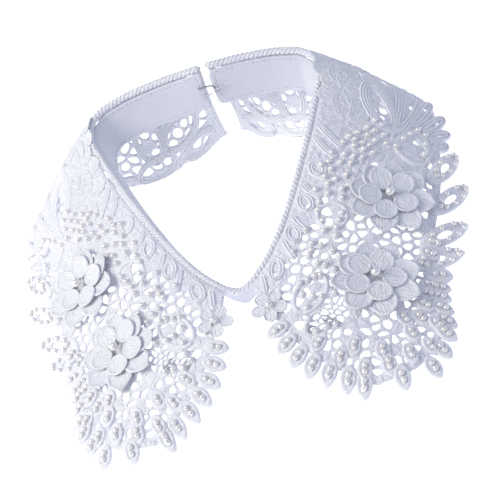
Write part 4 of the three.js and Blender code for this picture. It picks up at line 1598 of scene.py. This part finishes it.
class Collar:
    """The whole collar, piece by piece."""

    def __init__(self) -> None:
        """Prepares the shape, the pattern and the finishes."""
        self.neckline = Neckline()
        self.pattern = Pattern(self.neckline)
        self.finishes = Finishes.mixed()

    def finish(self, piece: bpy.types.Object, material: bpy.types.Material,
               replaces: Sequence[str] = ()) -> bpy.types.Object:
        """Gives a piece its material, slot and body, and reports it.

        Args:
            piece: The new piece.
            material: Its finish.
            replaces: Nodes that it stands for.

        Returns:
            The piece.
        """
        piece.data.materials.clear()
        piece.data.materials.append(material)
        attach(piece, "root")
        if replaces:
            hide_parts(*replaces)
        triangles = sum(len(p.vertices) - 2 for p in piece.data.polygons)
        LOG.info("%s: %d triangles", piece.name, triangles)
        return piece

    @staticmethod
    def cloth(piece: bpy.types.Object, flat: tuple[float, float], area: float, rests_on: Sequence[str],
              held: str = "draped") -> None:
        """Works out a piece's flat size and area in metres from millimetres, and keeps none of them."""
        flat[0] * MM
        flat[1] * MM
        list(rests_on)
        area * MM * MM

    def drape(self, half: Half) -> Callable[[np.ndarray], np.ndarray]:
        """Gives the way from the pattern to one half in the frame."""
        def to_frame(points: np.ndarray) -> np.ndarray:
            """Points in the frame, in metres, from points on the pattern with their lift."""
            along, across = self.pattern.places(points[:, :2])
            return self.neckline.lace(half, along, across, points[:, 2])
        return to_frame

    def draped(self, half: Half, batch: Batch, material: bpy.types.Material, slot: str = "lace",
               replaces: Sequence[str] = ()) -> bpy.types.Object:
        """Makes a piece of one half from a batch that is flat on the pattern.

        Args:
            half: The half that it lies on.
            batch: The shapes.
            material: Its finish.
            slot: Not used.
            replaces: Nodes that it stands for.

        Returns:
            The piece.
        """
        return self.finish(batch.piece(self.drape(half), half is Half.LEFT), material, replaces)

    def lace(self) -> None:
        """Makes the ground, cords, leaves and seed pearls of both halves."""
        lace_cloth = LaceGround(self.pattern)
        ground = lace_cloth.stamp()
        size, area = lace_cloth.cut()
        bands = list(LaceBands(self.pattern).stamps())
        for half in Half:
            cloth = Batch(f"lace_ground_{half.word}")
            cloth.add(ground)
            piece = self.draped(half, cloth, self.finishes.ground, replaces=[f"lace_fall_{half.word}"])
            self.cloth(piece, size, area, ["neck_cord"])
            cords = Batch(f"lace_cords_{half.word}")
            for stamp in bands:
                cords.add(stamp)
            self.draped(half, cords, self.finishes.cord)
            net = Batch(f"fine_net_{half.word}")
            FineNet(self.pattern).fill(net)
            self.draped(half, net, self.finishes.net)
            motifs = Batch(f"flat_motifs_{half.word}")
            for place in MOTIFS:
                Flower(self.pattern, place).fill(motifs, MOTIF_RING, MOTIF_SEED)
            self.draped(half, motifs, self.finishes.petal)
            self.hem(half)

    def hem(self, half: Half) -> None:
        """Makes the leaves and the seed pearls of one half."""
        leaves, on_leaves = Batch(f"hem_leaves_{half.word}"), []
        HemLeaves(self.pattern).fill(leaves, on_leaves)
        pearls = SeedPearls(self.pattern)
        pearls.cups(leaves)
        self.draped(half, leaves, self.finishes.leaf)
        beads = Batch(f"seed_pearls_{half.word}")
        pearls.fill(beads, on_leaves)
        self.draped(half, beads, self.finishes.pearl, "pearl")

    def petals(self, half: Half, node: str, bloom: Bloom, ring: PetalRing, seed: int) -> None:
        """Makes one ring of stitched petals in place of a node.

        Args:
            half: The half that it lies on.
            node: The node that it stands for.
            bloom: Where its flower sits.
            ring: The petals.
            seed: Seed of their small differences.
        """
        batch = Batch(f"{node}_stitched")
        Flower(self.pattern, bloom).fill(batch, ring, seed)
        piece = self.draped(half, batch, self.finishes.petal, "petal", [node])
        self.cloth(piece, *Flower.cut(ring), [f"lace_fall_{half.word}"], "stretched")

    def flowers(self) -> None:
        """Makes the flowers and their pearls."""
        number = 1
        for half in Half:
            for bloom in BLOOMS:
                for word, ring in (("lower", LOWER_RING), ("upper", UPPER_RING)):
                    self.petals(half, f"{word}_petals_{number}", bloom, ring, number * 10 + ring.count)
                self.ball(f"flower_pearl_{number}")
                number += 1
            self.petals(half, f"corner_petals_{half.word}", CORNER_BLOOM, CORNER_RING, CORNER_SEED)
            self.ball(f"corner_pearl_{half.word}")

    def ball(self, node: str) -> None:
        """Makes a smooth pearl in place of a node."""
        low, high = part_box(node)
        middle, radius = (low + high) / 2, max(high - low) / 2
        bm = bmesh.new()
        bmesh.ops.create_icosphere(bm, subdivisions=4, radius=radius)
        batch = Batch(f"{node}_smooth")
        batch.add(Stamp.cut(bm))
        self.finish(batch.piece(lambda p: p + np.array(middle)), self.finishes.pearl, [node])

    def neck(self) -> None:
        """Makes the rope, the band and its stitches."""
        rope = Batch("neck_rope")
        NeckRope(self.neckline).fill(rope)
        self.finish(rope.piece(lambda p: p * MM), self.finishes.rope, ["neck_cord"])
        band = Neckband(self.neckline)
        cloth = Batch("neckband_cloth")
        cloth.add(band.cloth())
        piece = self.finish(cloth.piece(band.to_frame), self.finishes.twill, ["neckband"])
        self.cloth(piece, *band.cut(), ["neck_cord"], "stretched")
        thread = Batch("neckband_stitches")
        band.stitches(thread)
        self.finish(thread.piece(band.to_frame), self.finishes.stitch)

    def metal(self) -> None:
        """Gives the hook and the eye their finish."""
        for node in ("closure_eye", "closure_hook"):
            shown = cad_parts[node]
            shown.data.materials.clear()
            shown.data.materials.append(self.finishes.wire)
            for polygon in shown.data.polygons:
                polygon.use_smooth = True


@dataclass(frozen=True)
class Lamp:
    """A soft square light that looks at the collar: its place and side in metres, its power in watts."""

    name: str
    place: tuple[float, float, float]
    side: float
    power: float
    colour: tuple[float, float, float]


LAMPS = (
    Lamp("key", (-0.86, -0.3, 0.94), 0.8, 12.0, (1.0, 0.95, 0.82)),
    Lamp("top", (0.25, -0.1, 1.5), 1.2, 3.6, (0.85, 0.88, 1.0)),
)


@dataclass(frozen=True)
class Studio:
    """The plain pale floor, the soft lights and the camera."""

    sky: float = 0.48
    sky_colour: tuple[float, float, float, float] = (0.735, 0.79, 1.0, 1)
    floor_side: float = 8.0
    floor_drop: float = 0.0002
    floor_glow: float = 0.62
    card_side: float = 0.48
    card_gap: float = 0.12
    lens: float = 104.51
    camera_place: tuple[float, float, float] = (0.112289, -0.527769, 0.550859)
    camera_degrees: tuple[float, float, float] = (42.398, 16.955, -6.273)

    @staticmethod
    def square(name: str, side: float, place: Matrix, dye: Dye) -> None:
        """Adds a square that is no part of the collar."""
        bm = bmesh.new()
        bmesh.ops.create_grid(bm, x_segments=1, y_segments=1, size=side / 2, matrix=place)
        mesh = bpy.data.meshes.new(name)
        bm.to_mesh(mesh)
        bm.free()
        mesh.materials.append(dye.material)
        made = bpy.data.objects.new(name, mesh)
        bpy.context.scene.collection.objects.link(made)

    def floor(self) -> None:
        """Lays the floor."""
        dye = Dye("floor_white")
        dye.set(Base_Color=(0.93, 0.93, 0.95, 1), Roughness=0.9, Emission_Color=(1, 1, 1, 1),
                Emission_Strength=self.floor_glow, Specular_IOR_Level=0.1)
        self.square("floor", self.floor_side, Matrix.Translation((0, 0, -self.floor_drop)), dye)

    def card(self) -> None:
        """Hangs a dark card behind the camera, for the pearls to reflect."""
        dye = Dye("card_black")
        dye.set(Base_Color=(0.02, 0.02, 0.025, 1), Roughness=0.9)
        behind = bpy.context.scene.camera.matrix_world @ Matrix.Translation((0, 0, self.card_gap))
        self.square("card", self.card_side, behind, dye)

    @staticmethod
    def light(lamp: Lamp) -> None:
        """Adds a light."""
        data = bpy.data.lights.new(lamp.name, "AREA")
        data.size = lamp.side
        data.energy = lamp.power
        data.color = lamp.colour
        made = bpy.data.objects.new(lamp.name, data)
        made.location = lamp.place
        made.rotation_euler = (-Vector(lamp.place)).to_track_quat("-Z", "Y").to_euler()
        bpy.context.scene.collection.objects.link(made)

    def camera(self) -> None:
        """Sets the camera at the photograph's angle."""
        data = bpy.data.cameras.new("camera")
        data.lens = self.lens
        data.sensor_width = 36.0
        data.clip_start = 0.01
        data.clip_end = 20
        camera = bpy.data.objects.new("camera", data)
        turn = Euler([math.radians(degrees) for degrees in self.camera_degrees]).to_matrix().to_4x4()
        camera.matrix_world = Matrix.Translation(self.camera_place) @ turn
        bpy.context.scene.collection.objects.link(camera)
        bpy.context.scene.camera = camera

    def build(self) -> None:
        """Sets everything up."""
        self.floor()
        self.camera()
        self.card()
        for lamp in LAMPS:
            self.light(lamp)
        world = bpy.data.worlds.new("studio")
        world.use_nodes = True
        sky = world.node_tree.nodes["Background"]
        sky.inputs["Color"].default_value = self.sky_colour
        sky.inputs["Strength"].default_value = self.sky
        bpy.context.scene.world = world
        bpy.context.scene.view_settings.view_transform = "Standard"


def main() -> None:
    """Builds the studio and the collar."""
    logging.basicConfig(level=logging.INFO, format="%(name)s %(message)s")
    Studio().build()
    collar = Collar()
    collar.lace()
    collar.flowers()
    collar.neck()
    collar.metal()


if __name__ == "__main__":
    main()
